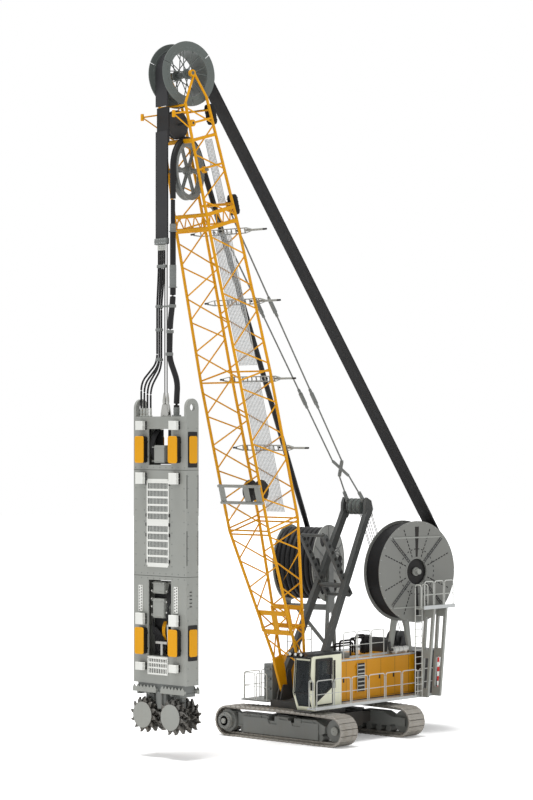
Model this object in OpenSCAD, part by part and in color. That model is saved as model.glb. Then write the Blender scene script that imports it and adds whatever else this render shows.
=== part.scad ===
/* [Crawlers] */
// Distance between the two track centre lines
track_gauge = 4200; // [3900:10:4400]
// Width of a track shoe
shoe_w = 1000; // [800:10:1050]
// Overall length of a track over its shoes
track_len = 6800; // [6400:10:7200]
// Height of a track at its two ends
track_h = 1240; // [1160:10:1300]
// Rise of the upper run above the ends at mid length
track_rise = 50; // [0:5:80]
// Number of shoes round one loop
shoe_count = 56; // [40:1:60]
// Thickness of shoe and link together
track_t = 170; // [140:5:190]
// Width of a track frame
track_frame_w = 520; // [420:10:600]

/* [Carbody] */
// Half width of the centre box
carbody_half = 1250; // [1000:10:1400]
// Underside of the centre box above ground
carbody_z = 430; // [350:10:500]
// Top of the centre box above ground
carbody_top = 1000; // [900:10:1050]
// Outer radius of the slewing ring
slew_r = 1050; // [800:10:1200]
// Bore of a lashing eye
lash_bore = 80; // [60:2:100]

/* [Upper carriage] */
// Underside of the main frame above ground
deck_z = 1300; // [1250:10:1350]
// Depth of the main frame
deck_h = 250; // [200:10:280]
// Half width over the side houses
house_half_w = 1550; // [1450:10:1650]
// Width of one side house
house_w = 880; // [780:10:900]
// Height of the side houses
house_h = 1650; // [1500:10:1800]
// Front wall of the side houses, forward of the slewing axis
house_front = 520; // [400:10:600]
// Rear wall of the side houses, behind the slewing axis
house_rear = 4200; // [3800:10:4400]
// Wall thickness of the houses and their door
house_wall = 45; // [30:1:60]
// Length of the counterweight
weight_len = 1600; // [1200:10:1800]
// Half width of the counterweight
weight_half_w = 1880; // [1600:10:1900]
// Height of the counterweight
weight_h = 1850; // [1600:10:2000]
// Width of the side walkways
walk_w = 800; // [700:10:900]
// Height of the hand rails
rail_h = 1100; // [1000:10:1150]
// Radius of a rail tube
rail_r = 20; // [15:1:25]

/* [Cab] */
// Length of the cab
cab_len = 1900; // [1700:10:2000]
// Width of the cab
cab_w = 900; // [850:10:950]
// Height of the cab
cab_h = 2150; // [2000:10:2250]
// Inner side of the cab from the centre plane
cab_y = 1000; // [980:5:1050]
// Wall thickness of the cab and its door
cab_wall = 60; // [45:1:70]

/* [Boom] */
// Boom foot pivot forward of the slewing axis
foot_x = 1500; // [1400:10:1600]
// Boom foot pivot above ground
foot_z = 2000; // [1900:10:2100]
// Boom angle above the horizontal
boom_angle = 74.3; // [72:0.1:77]
// Half spacing of the boom chords, side to side
boom_hw = 1050; // [950:10:1100]
// Half spacing of the boom chords, front to back
boom_hd = 885; // [800:10:950]
// Half spacing side to side at the foot plates
foot_hw = 620; // [600:5:640]
// Radius of a chord tube
chord_r = 58; // [45:1:70]
// Radius of a bracing tube
brace_r = 30; // [22:1:36]
// End of the foot section along the boom
foot_end = 6900; // [6500:50:7200]
// End of the lower section along the boom
lower_end = 12900; // [12500:50:13300]
// End of the upper section along the boom
upper_end = 18850; // [18500:50:19200]
// End of the head section along the boom
head_end = 23800; // [23700:10:24000]
// Radius of the boom foot pin
foot_pin_r = 70; // [50:1:85]

/* [Belt line] */
// Top wheel axle along the boom
top_wheel_u = 24768; // [24700:1:24850]
// Top wheel axle behind the boom's middle line
top_wheel_w = 209; // [150:1:260]
// Flange radius of the top wheel
top_wheel_r = 1230; // [1150:5:1260]
// Width over the flanges of the top wheel
top_wheel_width = 930; // [860:5:960]
// Belt radius on the top wheel, to the outer face
belt_r = 960; // [900:5:1000]
// Width of the hose belt
belt_w = 740; // [600:5:780]
// Thickness of the hose belt
belt_t = 60; // [40:1:70]
// Belt reel centre behind the slewing axis
belt_reel_x = 3500; // [3300:10:3700]
// Belt reel centre left of the centre plane
belt_reel_y = 1850; // [1800:10:2000]
// Belt reel centre above ground
belt_reel_z = 6600; // [6400:10:6800]
// Flange radius of the belt reel
belt_reel_r = 2075; // [1950:5:2150]
// Width of the belt reel over its flanges
belt_reel_w = 950; // [900:5:1000]
// Radius of the wound belt
wound_r = 1960; // [1800:5:1990]

/* [Slurry hose line] */
// Hose wheel axle along the boom
hose_wheel_u = 21215; // [21150:1:21260]
// Hose wheel axle in front of the boom's middle line
hose_wheel_w = 530; // [500:1:560]
// Hose wheel centre left of the centre plane
hose_wheel_y = 75; // [65:1:90]
// Radius of the hose wheel
hose_wheel_r = 1130; // [1050:5:1140]
// Radius of the slurry hose
hose_r = 110; // [80:1:120]
// Hose lay on its reel, behind the slewing axis
hose_reel_x = 1637; // [1600:1:1680]
// Hose lay on its reel, right of the centre plane
hose_reel_y = 2655; // [2640:5:2700]
// Hose reel centre above ground
hose_reel_z = 6870; // [6850:10:6900]
// Flange radius of the hose reel
hose_reel_r = 1600; // [1560:5:1650]
// Width of the hose reel
hose_reel_w = 1830; // [1700:10:1850]
// Radius of the wound hose
wound_hose_r = 1500; // [1400:5:1520]

/* [Derrick] */
// Foot of the derrick legs forward of the slewing axis
derrick_x = 1080; // [1050:5:1120]
// Foot of the derrick legs above ground
derrick_z = 2650; // [2600:10:2700]
// Half spacing of the legs at the foot
derrick_foot_y = 850; // [845:1:858]
// Half spacing of the legs at the top
derrick_top_y = 600; // [560:5:640]
// Derrick head behind the slewing axis
derrick_head_x = 2400; // [2300:10:2500]
// Derrick head above ground
derrick_head_z = 9250; // [9100:10:9400]
// Depth of a derrick leg
leg_d = 300; // [240:10:340]
// Thickness of a derrick leg
leg_t = 200; // [160:5:205]

/* [Cutter] */
// Cutter centre forward of the slewing axis
cutter_x = 8750; // [8700:10:8800]
// Cutter centre left of the centre plane
cutter_y = -100; // [-110:5:-90]
// Width of the cutter frame
cutter_w = 2800; // [2700:10:2900]
// Thickness of the cutter frame
cutter_t = 660; // [600:10:760]
// Bottom of the cutter frame above ground
cutter_bottom = 2800; // [2750:10:2900]
// Top of the cutter frame above ground
cutter_top = 12900; // [12700:10:13000]
// Wall of the cutter frame
cutter_wall = 40; // [25:1:50]
// Distance between the two cutter wheel axles
wheel_spacing = 1480; // [1470:5:1520]
// Height of the cutter wheel axles above ground
wheel_z = 1600; // [1560:5:1640]
// Radius of the cutter wheels over the teeth
wheel_tip_r = 680; // [640:5:690]
// Radius of the plain wheel discs
wheel_disc_r = 500; // [460:5:520]
// Thickness of a wheel set over both discs
wheel_set_t = 1080; // [1000:10:1160]
// How far the guide pads stand out
pad_out = 250; // [180:5:280]
// Bore of the lifting eyes
lift_bore = 270; // [200:5:320]

/* [Hidden] */
$fn = 48;

// Finishes
yellow = [0.95, 0.62, 0.04];
grey = [0.60, 0.61, 0.59];
pale = [0.80, 0.81, 0.79];
dark = [0.16, 0.16, 0.17];
black = [0.07, 0.07, 0.08];
steel = [0.42, 0.40, 0.38];
cream = [0.90, 0.90, 0.80];

// Clearances
seat_gap = 0.3;
run_gap = 6;
pin_gap = 0.4;

// Places that follow from the sizes above
deck_top = deck_z + deck_h;
ring_mid = (carbody_top + deck_z) / 2;
track_x = track_gauge / 2;
frame_in = track_x - track_frame_w / 2;
end_r = track_h / 2;
end_y = track_len / 2 - end_r;
roller_r = 135;
house_top = deck_top + house_h;
boom_foot = [foot_x, 0, foot_z];
top_wheel = boom_point([top_wheel_u, 0, top_wheel_w]);
hose_wheel = boom_point([hose_wheel_u, hose_wheel_y, -hose_wheel_w]);
belt_reel = [-belt_reel_x, belt_reel_y, belt_reel_z];
hose_reel = [-hose_reel_x, -hose_reel_y, hose_reel_z];
belt_yaw = atan2(-(belt_reel.y - top_wheel.y), top_wheel.x - belt_reel.x);
hose_yaw = atan2(hose_wheel.y - hose_reel.y, hose_wheel.x - hose_reel.x);
hose_line_r = hose_wheel_r - hose_r / 2;
belt_line_r = belt_r - belt_t / 2;
sheave_r = 550;
rope_r = 22;
rope_x = cutter_x;
sheave_u = 22980;
sheave_gap = 4;
sheave_w = boom_w_of(rope_x - sheave_r - rope_r - sheave_gap, sheave_u);
sheave = boom_point([sheave_u, cutter_y, sheave_w]);

// Boom coordinates: u along the boom, v to the left, w to the rear
function boom_point(p) = [
    foot_x + p.x * cos(boom_angle) - p.z * sin(boom_angle),
    p.y,
    foot_z + p.x * sin(boom_angle) + p.z * cos(boom_angle)
];
function boom_w_of(x, u) = (foot_x + u * cos(boom_angle) - x) / sin(boom_angle);
function mix(a, b, t) = a + (b - a) * t;
function chord_hw(u) =
    u < foot_end ? mix(foot_hw, boom_hw, max(0, u - 1000) / (foot_end - 1000))
    : u < lower_end ? boom_hw
    : u < upper_end ? mix(boom_hw, 880, (u - lower_end) / (upper_end - lower_end))
    : mix(880, 690, (u - upper_end) / (head_end - upper_end));
function chord_hd(u) =
    u < foot_end ? mix(150, boom_hd, max(0, u - 1000) / (foot_end - 1000))
    : u < lower_end ? boom_hd
    : u < upper_end ? mix(boom_hd, 800, (u - lower_end) / (upper_end - lower_end))
    : mix(800, 600, (u - upper_end) / (head_end - upper_end));
// Corner k of the boom's section, counted round from front left
function corner(u, k) = [
    u,
    (k % 4 == 0 || k % 4 == 3 ? 1 : -1) * chord_hw(u),
    (k % 4 < 2 ? -1 : 1) * chord_hd(u)
];
// Tangent over the rear of two round things that lie a and h apart in one upright plane
function tangent_angle(a, h, r1, r2) = atan2(h, a) + acos((r1 - r2) / norm([a, h]));

module rod(p, q, r) {
    d = q - p;
    translate(p)
        rotate([0, acos(d.z / norm(d)), atan2(d.y, d.x)])
            cylinder(h = norm(d), r = r);
}

module beam(p, q, w, t) {
    d = q - p;
    translate(p)
        rotate([0, acos(d.z / norm(d)), atan2(d.y, d.x)])
            translate([-t / 2, -w / 2, 0])
                cube([t, w, norm(d)]);
}

module disc_y(c, r, w) {
    translate(c)
        rotate([90, 0, 0])
            cylinder(h = w, r = r, center = true);
}

module disc_x(c, r, w) {
    translate(c)
        rotate([0, 90, 0])
            cylinder(h = w, r = r, center = true);
}

module plate_y(y0, y1, outline) {
    translate([0, y1, 0])
        rotate([90, 0, 0])
            linear_extrude(y1 - y0)
                polygon(outline);
}

module plate_x(x0, x1, outline) {
    translate([x0, 0, 0])
        rotate([90, 0, 90])
            linear_extrude(x1 - x0)
                polygon(outline);
}

module block(a, b) {
    translate(a)
        cube(b - a);
}

module at_boom() {
    translate(boom_foot)
        rotate([0, -boom_angle, 0])
            children();
}

module at_wheel(c, yaw) {
    translate(c)
        rotate([0, 0, yaw])
            rotate([90, 0, 0])
                children();
}

// Tracks: one closed loop each, shoes in the outline
track_flat = 2 * end_y;
track_loop = 2 * track_flat + 2 * PI * end_r;
// Point of the loop at run s, set in by depth d
function loop_point(s, d) =
    s < track_flat ? [end_y - s, d]
    : s < track_flat + PI * end_r
        ? let (a = (s - track_flat) / end_r * 180 / PI)
            [-end_y - (end_r - d) * sin(a), end_r - (end_r - d) * cos(a)]
    : s < 2 * track_flat + PI * end_r
        ? let (y = -end_y + s - track_flat - PI * end_r)
            [y, track_h - d + track_rise * (1 - pow(y / end_y, 2))]
    : let (a = (s - 2 * track_flat - PI * end_r) / end_r * 180 / PI)
        [end_y + (end_r - d) * sin(a), end_r + (end_r - d) * cos(a)];

shoe_pitch = track_loop / shoe_count;
// Share of the pitch and depth of each corner of one shoe: lip, rib, pan, rib, lip
shoe_corners = [[0.02, 45], [0.06, 12], [0.30, 12], [0.34, 0], [0.44, 0], [0.48, 12], [0.88, 12], [0.92,
    45]];

module track_loop_solid() {
    linear_extrude(shoe_w, center = true)
        difference() {
            polygon([
                for (i = [0 : shoe_count - 1])
                    for (c = shoe_corners)
                        loop_point((i + c[0]) * shoe_pitch, c[1])
            ]);
            polygon([
                for (i = [0 : 4 * shoe_count - 1])
                    loop_point((i + 0.5) * shoe_pitch / 4, track_t)
            ]);
        }
}

module track_at(side) {
    color(steel)
        translate([side * track_x, 0, 0])
            rotate([90, 0, 90])
                track_loop_solid();
}

module track_front() { track_at(1); }
module track_rear() { track_at(-1); }

wheel_in_r = end_r - track_t - 1;
roller_count = 9;
roller_run = end_y - 700;
frame_low = track_t + 1.8 * roller_r;
frame_top = track_h - track_t - 90;
arm_t = 110;

// Side outline of a track frame: drive end left, idler end right
frame_end = end_y - wheel_in_r - 20;
frame_outline = [
    [-frame_end, frame_low], [frame_end - 230, frame_low], [frame_end, frame_low + 80],
    [frame_end, frame_top - 210], [roller_run - 250, frame_top], [-frame_end, frame_top]
];
notch_y = [-500, 550];
notch_w = 330;
notch_h = 210;

module track_frame(side) {
    color(grey)
        difference() {
            union() {
                translate([side * track_x, 0, 0])
                    plate_x(-track_frame_w / 2, track_frame_w / 2, frame_outline);
                for (i = [0 : roller_count - 1])
                    disc_x([side * track_x, mix(-roller_run, roller_run, i / (roller_count - 1)),
                        track_t + seat_gap + roller_r], roller_r, track_frame_w - 60);
                for (end = [-1, 1])
                    translate([side * (frame_in + arm_t / 2), 0, 0])
                        plate_x(-arm_t / 2, arm_t / 2, [
                            [end * (roller_run - 200), frame_top - 180], [end * (roller_run - 200),
                                frame_low + 90],
                            [end * (end_y + 160), end_r - 170], [end * (end_y + 160), end_r + 170]
                        ]);
            }
            for (y = notch_y)
                block([side * track_x - track_frame_w, y - notch_w / 2, frame_top - notch_h],
                    [side * track_x + track_frame_w, y + notch_w / 2, frame_top + 1]);
        }
}

module track_frame_front() { track_frame(1); }
module track_frame_rear() { track_frame(-1); }

hub_out = 240;
hub_r = 325;
hub_len = 520;
idler_len = 300;

module track_wheels() {
    color(steel)
        for (side = [-1, 1])
            for (end = [-1, 1])
                translate([side * (frame_in + arm_t), end * end_y, end_r])
                    rotate([0, side * 90, 0])
                        if (end < 0) {
                            cylinder(h = hub_len, r = wheel_in_r);
                            cylinder(h = hub_len + hub_out, r = hub_r);
                            cylinder(h = hub_len + hub_out + 60, r = 110);
                        } else {
                            cylinder(h = idler_len, r = wheel_in_r);
                            cylinder(h = idler_len + 60, r = 170);
                        }
}

// Carbody with its cross beams and lashing eyes
beam_y = 820;
beam_w = 640;
eye_t = 90;
eye_half = 100;
eye_foot = 190;
lash_y = carbody_half + 160;
lash_z = carbody_z + 250;

module carbody() {
    color(dark)
        difference() {
            union() {
                block([-carbody_half, -carbody_half, carbody_z], [carbody_half, carbody_half, carbody_top]);
                for (y = [-beam_y, beam_y])
                    block([-frame_in, y - beam_w / 2, carbody_z + 80], [frame_in, y + beam_w / 2,
                        carbody_top - 60]);
                translate([0, 0, carbody_top - 10])
                    cylinder(h = ring_mid - carbody_top + 10, r = slew_r);
                for (end = [-1, 1])
                    translate([0, 0, lash_z - eye_t / 2])
                        linear_extrude(eye_t)
                            polygon([
                                [-eye_foot, end * (carbody_half - 10)], [-eye_half,
                                    end * (lash_y + eye_half)],
                                [eye_half, end * (lash_y + eye_half)], [eye_foot, end * (carbody_half - 10)]
                            ]);
            }
            for (end = [-1, 1])
                translate([0, end * lash_y, lash_z])
                    cylinder(h = eye_t + 2, r = lash_bore / 2, center = true);
            translate([0, 0, carbody_top])
                cylinder(h = ring_mid - carbody_top + 1, r = slew_r - 220);
        }
}

// Upper frame: ring, main box, side decks, cab beam and the brackets for boom and derrick
lug_t = 55;
foot_plate_t = 110;
frame_front = foot_x + 480;
cab_gap = 340;
cab_x1 = house_front + cab_gap + cab_len;
side_deck_t = 90;
cab_floor = deck_top - 200;

module foot_lug(x, y, z, half) {
    plate_y(y - lug_t / 2, y + lug_t / 2, [
        [x - half - 130, deck_top - 5], [x + half + 130, deck_top - 5],
        [x + half, z], [x + half * 0.6, z + half * 0.8], [x - half * 0.6, z + half * 0.8], [x - half, z]
    ]);
}

lug_in = foot_hw - foot_plate_t / 2 - run_gap - lug_t / 2;
lug_out = foot_hw + foot_plate_t / 2 + run_gap + lug_t / 2;
leg_lean_gap = 12;
derrick_lug_in = derrick_foot_y - leg_t / 2 - run_gap - leg_lean_gap - lug_t / 2;
derrick_pin_r = 60;

module upper_frame() {
    color(dark)
        union() {
            difference() {
                translate([0, 0, ring_mid + seat_gap])
                    cylinder(h = deck_z + 10 - ring_mid, r = slew_r - 20);
                translate([0, 0, ring_mid])
                    cylinder(h = deck_z - ring_mid, r = slew_r - 240);
            }
            block([-house_rear, -900, deck_z], [frame_front, 900, deck_top]);
            for (side = [-1, 1])
                block([-house_rear, side > 0 ? 890 : -house_half_w, deck_top - side_deck_t],
                    [house_front, side > 0 ? house_half_w : -890, deck_top]);
            block([house_front + 150, 890, cab_floor - 50], [cab_x1 - 100, cab_y + cab_w - 60, cab_floor]);
            for (side = [-1, 1]) {
                foot_lug(foot_x, side * lug_in, foot_z, 190);
                foot_lug(foot_x, side * lug_out, foot_z, 190);
                disc_y([foot_x, side * foot_hw, foot_z], foot_pin_r, lug_out - lug_in + lug_t);
                foot_lug(derrick_x, side * derrick_lug_in, derrick_z, 120);
                disc_y([derrick_x, side * (derrick_foot_y - 20), derrick_z], derrick_pin_r,
                    leg_t + lug_t + 60);
            }
            for (x = winch_x) {
                disc_y([x, 0, winch_z], winch_shaft_r, 2 * (winch_half + run_gap + lug_t));
                for (side = [-1, 1])
                    translate([0, side * (winch_half + run_gap + lug_t / 2), 0])
                        plate_y(-lug_t / 2, lug_t / 2, [
                            [x - 300, deck_top - 5], [x + 300, deck_top - 5], [x + 140, winch_z + 140],
                                [x - 140, winch_z + 140]
                        ]);
            }
        }
}

// Counterweight with bevelled tail corners
weight_x = -house_rear - seat_gap;
weight_z = deck_z + 100;
weight_bevel = 320;

module counterweight() {
    color(black)
        translate([0, 0, weight_z])
            linear_extrude(weight_h)
                polygon([
                    [weight_x, -weight_half_w], [weight_x, weight_half_w],
                    [weight_x - weight_len + weight_bevel, weight_half_w],
                    [weight_x - weight_len, weight_half_w - weight_bevel],
                    [weight_x - weight_len, -weight_half_w + weight_bevel],
                    [weight_x - weight_len + weight_bevel, -weight_half_w]
                ]);
}

// Side houses: hollow boxes open below, on the side decks
door_x1 = -450;
door_x0 = door_x1 - 560;
door_z0 = deck_top + 120;
door_z1 = house_top - 150;
door_gap = 6;
hood_x = -2000;

module house(side) {
    y0 = side > 0 ? house_half_w - house_w : -house_half_w;
    color(yellow)
        difference() {
            union() {
                block([-house_rear, y0, deck_top], [house_front, y0 + house_w, house_top]);
                if (side < 0) {
                    block([-house_rear, y0 + house_w - 1, house_top - house_wall], [hood_x,
                        -y0 - house_w - seat_gap, house_top]);
                    block([hood_x - house_wall, y0 + house_w - 1, deck_top], [hood_x,
                        -y0 - house_w - seat_gap, house_top]);
                }
            }
            block([-house_rear + house_wall, y0 + house_wall, deck_top - 1],
                [house_front - house_wall, y0 + house_w - house_wall, house_top - house_wall]);
            if (side > 0)
                block([door_x0 - door_gap, house_half_w - house_wall - 1, door_z0 - door_gap],
                    [door_x1 + door_gap, house_half_w + 1, door_z1 + door_gap]);
        }
}

module house_left() { house(1); }
module house_right() { house(-1); }

hinge_r = 22;
hinge_x = door_x1 + 40;
door_proud = 5;
strap = [140, 14];

module house_door() {
    color(yellow)
        union() {
            block([door_x0, house_half_w - house_wall, door_z0], [door_x1, house_half_w + door_proud,
                door_z1]);
            for (z = [door_z0 + 200, door_z1 - 200]) {
                translate([hinge_x, house_half_w + hinge_r + seat_gap, z])
                    cylinder(h = strap[0], r = hinge_r, center = true);
                block([door_x1 - strap[0], house_half_w + seat_gap, z - strap[0] / 2],
                    [hinge_x, house_half_w + strap[1], z + strap[0] / 2]);
            }
        }
}

engine_x = [-3900, -2200];
house_in = house_half_w - house_w;
engine_half_w = house_in - 110;
engine_h = 1150;

module engine() {
    color(dark)
        block([engine_x[0], -engine_half_w, deck_top], [engine_x[1], engine_half_w, deck_top + engine_h]);
}

// Hoist winches between the houses
winch_z = deck_top + 470;
winch_x = [-150, -1250];
winch_flange_r = 430;
winch_half = house_in - 130;
winch_shaft_r = 80;

module winch(x) {
    color(steel)
        difference() {
            union() {
                disc_y([x, 0, winch_z], 300, 2 * winch_half);
                for (side = [-1, 1])
                    disc_y([x, side * (winch_half - 20), winch_z], winch_flange_r, 40);
            }
            disc_y([x, 0, winch_z], winch_shaft_r + pin_gap, 2 * winch_half + 2);
        }
}

module winch_front() { winch(winch_x[0]); }
module winch_rear() { winch(winch_x[1]); }

// Cab: shell with cut windows, door in the left wall
cab_x0 = cab_x1 - cab_len;
cab_y1 = cab_y + cab_w;
cab_top = cab_floor + cab_h;
cab_rake = 260;
cab_door_x0 = cab_x0 + 620;
cab_door_x1 = cab_x1 - 330;
sill = 620;
head_rail = 170;
post = 90;

cab_outline = [
    [cab_x0, cab_floor], [cab_x1 - cab_rake, cab_floor], [cab_x1, cab_floor + 700],
    [cab_x1 - 120, cab_top - 60], [cab_x1 - 200, cab_top], [cab_x0, cab_top]
];
cab_inside = [
    [cab_x0 + cab_wall, cab_floor + cab_wall], [cab_x1 - cab_rake - 30, cab_floor + cab_wall],
    [cab_x1 - cab_wall, cab_floor + 700], [cab_x1 - 120 - cab_wall, cab_top - 90],
    [cab_x1 - 220, cab_top - cab_wall], [cab_x0 + cab_wall, cab_top - cab_wall]
];
cab_door_z0 = cab_floor + 190;
cab_door_z1 = cab_top - 110;
door_lap = 40;
cab_door_outline = [
    [cab_door_x0 - door_lap, cab_door_z0], [cab_door_x1, cab_door_z0],
    [cab_door_x1 + door_lap, cab_floor + 600], [cab_door_x1, cab_door_z1],
    [cab_door_x0 - door_lap, cab_door_z1]
];
cab_door_hole = [
    [cab_door_x0, cab_door_z0 + door_lap], [cab_door_x1 - 60, cab_door_z0 + door_lap],
    [cab_door_x1, cab_floor + 600], [cab_door_x1 - 40, cab_door_z1 - door_lap], [cab_door_x0,
        cab_door_z1 - door_lap]
];
door_window = [
    [cab_door_x0 + post, cab_floor + 900], [cab_door_x1 - post, cab_floor + 450],
    [cab_door_x1 - 40 - post, cab_top - 110 - post], [cab_door_x0 + post, cab_top - 110 - post]
];
pillar_w = 350;
rear_window = [
    [cab_x0 + pillar_w, cab_floor + sill + 200], [cab_door_x0 - 120, cab_floor + sill + 200],
    [cab_door_x0 - 120, cab_top - 220], [cab_x0 + pillar_w, cab_top - 220]
];
right_window = [
    [cab_x0 + 200, cab_floor + sill + 60], [cab_x1 - 260, cab_floor + sill + 60],
    [cab_x1 - 300, cab_top - 220], [cab_x0 + 200, cab_top - 220]
];

module cab_shell() {
    color(cream)
        difference() {
            plate_y(cab_y, cab_y1, cab_outline);
            plate_y(cab_y + cab_wall, cab_y1 - cab_wall, cab_inside);
            plate_y(cab_y1 - cab_wall - 1, cab_y1 + 1, cab_door_hole);
            plate_y(cab_y1 - cab_wall - 1, cab_y1 + 1, rear_window);
            plate_y(cab_y - 1, cab_y + cab_wall + 1, right_window);
            block([cab_x1 - 420, cab_y + post, cab_floor + 160], [cab_x1 + 1, cab_y1 - post,
                cab_top - head_rail]);
            block([cab_x0 - 1, cab_y + 150, cab_floor + sill + 300],
                [cab_x0 + cab_wall + 1, cab_y1 - 150, cab_top - 250]);
        }
}

glass_t = 12;

module cab_glass() {
    color([0.1, 0.12, 0.13, 0.6])
        union() {
            intersection() {
                difference() {
                    plate_y(cab_y + post + 0.5, cab_y1 - post - 0.5, [
                        [cab_x1 - cab_rake - 5, cab_floor + 100], [cab_x1 - 10, cab_floor + 700],
                        [cab_x1 - 128, cab_top - 80]
                    ]);
                    plate_y(cab_y, cab_y1, [
                        [cab_x1 - cab_rake - 25, cab_floor + 100], [cab_x1 - 30, cab_floor + 700],
                        [cab_x1 - 148, cab_top - 80], [cab_x1 - 600, cab_top - 80], [cab_x1 - 600,
                            cab_floor + 100]
                    ]);
                }
                block([cab_x1 - 420, cab_y, cab_floor + 160.5], [cab_x1 + 1, cab_y1,
                    cab_top - head_rail - 0.5]);
            }
            plate_y(cab_y1 - cab_wall + 20, cab_y1 - cab_wall + 20 + glass_t, rear_window);
            plate_y(cab_y + 20, cab_y + 20 + glass_t, right_window);
        }
}

// Visor on the cab roof, reaching forward, with work lights under its front edge
visor_out = 380;
visor_t = 90;
lamp_r = 70;
lamp_y = [160, 450, 740];

module cab_visor() {
    z = cab_top + seat_gap;
    color(dark)
        union() {
            plate_y(cab_y + 20, cab_y1 - 10, [
                [cab_x0 + 60, z], [cab_x1 - 200, z], [cab_x1 + visor_out, z - 30],
                [cab_x1 + visor_out, z + 20], [cab_x1 - 150, z + visor_t], [cab_x0 + 60, z + visor_t]
            ]);
            for (y = lamp_y)
                disc_x([cab_x1 + visor_out - 90, cab_y + y, z + visor_t + 10], lamp_r, 110);
        }
}

cab_door_t = 45;
door_glass_t = 15;

module cab_door() {
    y0 = cab_y1 + seat_gap;
    color(cream)
        difference() {
            plate_y(y0, y0 + cab_door_t, cab_door_outline);
            plate_y(y0 - 1, y0 + door_glass_t, door_window);
            plate_y(y0 + 2 * door_glass_t, y0 + cab_door_t + 1, door_window);
        }
}

module cab_seat() {
    x = cab_x0 + 620;
    y = cab_y + cab_w / 2;
    color(dark)
        union() {
            block([x - 200, y - 180, cab_floor + cab_wall], [x + 200, y + 180, cab_floor + 420]);
            block([x - 260, y - 250, cab_floor + 420], [x + 280, y + 250, cab_floor + 560]);
            plate_y(y - 240, y + 240, [
                [x - 260, cab_floor + 550], [x - 120, cab_floor + 550], [x - 240, cab_floor + 1350],
                [x - 350, cab_floor + 1350]
            ]);
            for (side = [-1, 1])
                block([x - 200, y + side * 310 - 55, cab_floor + cab_wall], [x + 330,
                    y + side * 310 + 55, cab_floor + 760]);
        }
}

// Side walkways with hand rails
walk_y0 = house_half_w + seat_gap;
walk_y1 = house_half_w + walk_w;
walk_t = 50;
walk_z = deck_top - side_deck_t;
panel_gap = 90;
rail_fn = 20;
post_r = rail_r - 3;
knee_r = rail_r - 6;

// A row of rail frames, each with two posts, a knee rail and a top rail
module rail_panels(p, q, count) {
    run = q - p;
    gap = run / norm(run) * panel_gap / 2;
    for (i = [0 : count - 1])
        rail_frame(p + run * i / count + gap, p + run * (i + 1) / count - gap);
}

module rail_frame(a, b) {
    over = (b - a) / norm(b - a) * rail_r;
    top = [0, 0, rail_h - rail_r];
    for (foot = [a, b])
        rod(foot + [0, 0, seat_gap], foot + top, post_r, $fn = rail_fn);
    rod(a + top - over, b + top + over, rail_r, $fn = rail_fn);
    rod(a + top / 2, b + top / 2, knee_r, $fn = rail_fn);
}

walk_front = 2950;
walk_back = -house_rear - 400;

module walkways() {
    color(pale)
        translate([0, 0, walk_z])
            linear_extrude(walk_t) {
                polygon([
                    [walk_back, walk_y1], [walk_front, walk_y1], [walk_front, cab_y1 + seat_gap],
                    [house_front + 20, cab_y1 + seat_gap], [house_front + 20, walk_y0], [-house_rear,
                        walk_y0],
                    [-house_rear, weight_half_w + seat_gap], [walk_back, weight_half_w + seat_gap]
                ]);
                polygon([
                    [-house_rear, -walk_y0], [house_front, -walk_y0], [house_front, -walk_y1],
                        [-house_rear, -walk_y1]
                ]);
            }
}

// Hand rails along the walkways, the roof edges and the platforms
rail_in = 40;
roof_rail_x = [-2300, -1250, house_front - 200];

module hand_rails() {
    color(pale) {
        rail_panels([walk_back + rail_in, walk_y1 - rail_in, walk_z + walk_t],
            [walk_front - 2 * rail_in, walk_y1 - rail_in, walk_z + walk_t], 7);
        rail_panels([walk_front - rail_in, walk_y1 - 3 * rail_in, walk_z + walk_t],
            [walk_front - rail_in, cab_y1 + rail_in, walk_z + walk_t], 1);
        rail_panels([-house_rear + rail_in, -walk_y1 + rail_in, walk_z + walk_t],
            [manifold_x[1] - 2 * rail_in, -walk_y1 + rail_in, walk_z + walk_t], 6);
        rail_panels([manifold_x[1] - rail_in, -walk_y1 + 3 * rail_in, walk_z + walk_t],
            [manifold_x[1] - rail_in, manifold_y[1] - rail_in, walk_z + walk_t], 2);
        rail_panels([roof_rail_x[0], house_half_w - rail_in, house_top],
            [roof_rail_x[2], house_half_w - rail_in, house_top], 3);
        rail_panels([roof_rail_x[1], rail_in - house_half_w, house_top],
            [roof_rail_x[2], rail_in - house_half_w, house_top], 2);
        rail_panels([platform_x[0] + rail_in, platform_y[1] - rail_in, platform_z + walk_t],
            [platform_x[1] - rail_in, platform_y[1] - rail_in, platform_z + walk_t], 3);
    }
}

// Hose manifold tower on a platform ahead of the right house
manifold_x = [house_front + 20, 2150];
manifold_y = [-house_half_w - walk_w, -900 - seat_gap];
tower_x = [manifold_x[0] + 250, manifold_x[1] - 450];
tower_y = [-1500, -1050];
tower_h = 1500;
port_r = 50;

module hose_manifold() {
    color(grey)
        union() {
            block([manifold_x[0], manifold_y[0], walk_z], [manifold_x[1], manifold_y[1], walk_z + walk_t]);
            block([tower_x[0], tower_y[0], walk_z + 40], [tower_x[1], tower_y[1], walk_z + tower_h]);
            for (z = [500, 900, 1300])
                for (i = [1 : 3])
                    disc_x([tower_x[1] + 30, mix(tower_y[0], tower_y[1], i / 4), walk_z + z], port_r, 120);
        }
}

silencer_r = 110;
silencer_x = [-3900, -2950];
silencer_y = house_half_w - 150;
silencer_z = house_top + silencer_r + 60;

module silencer() {
    color(pale)
        union() {
            rod([silencer_x[0], silencer_y, silencer_z], [silencer_x[1], silencer_y, silencer_z],
                silencer_r);
            for (x = [silencer_x[0] + 150, silencer_x[1] - 150])
                block([x - 40, silencer_y - 80, house_top], [x + 40, silencer_y + 80, silencer_z - 50]);
        }
}

// Belt reel on its stand at the left rear
belt_axle_r = 110;
stand_gap = 20;
belt_stand_y = belt_reel_w / 2 + stand_gap + 60;

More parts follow.
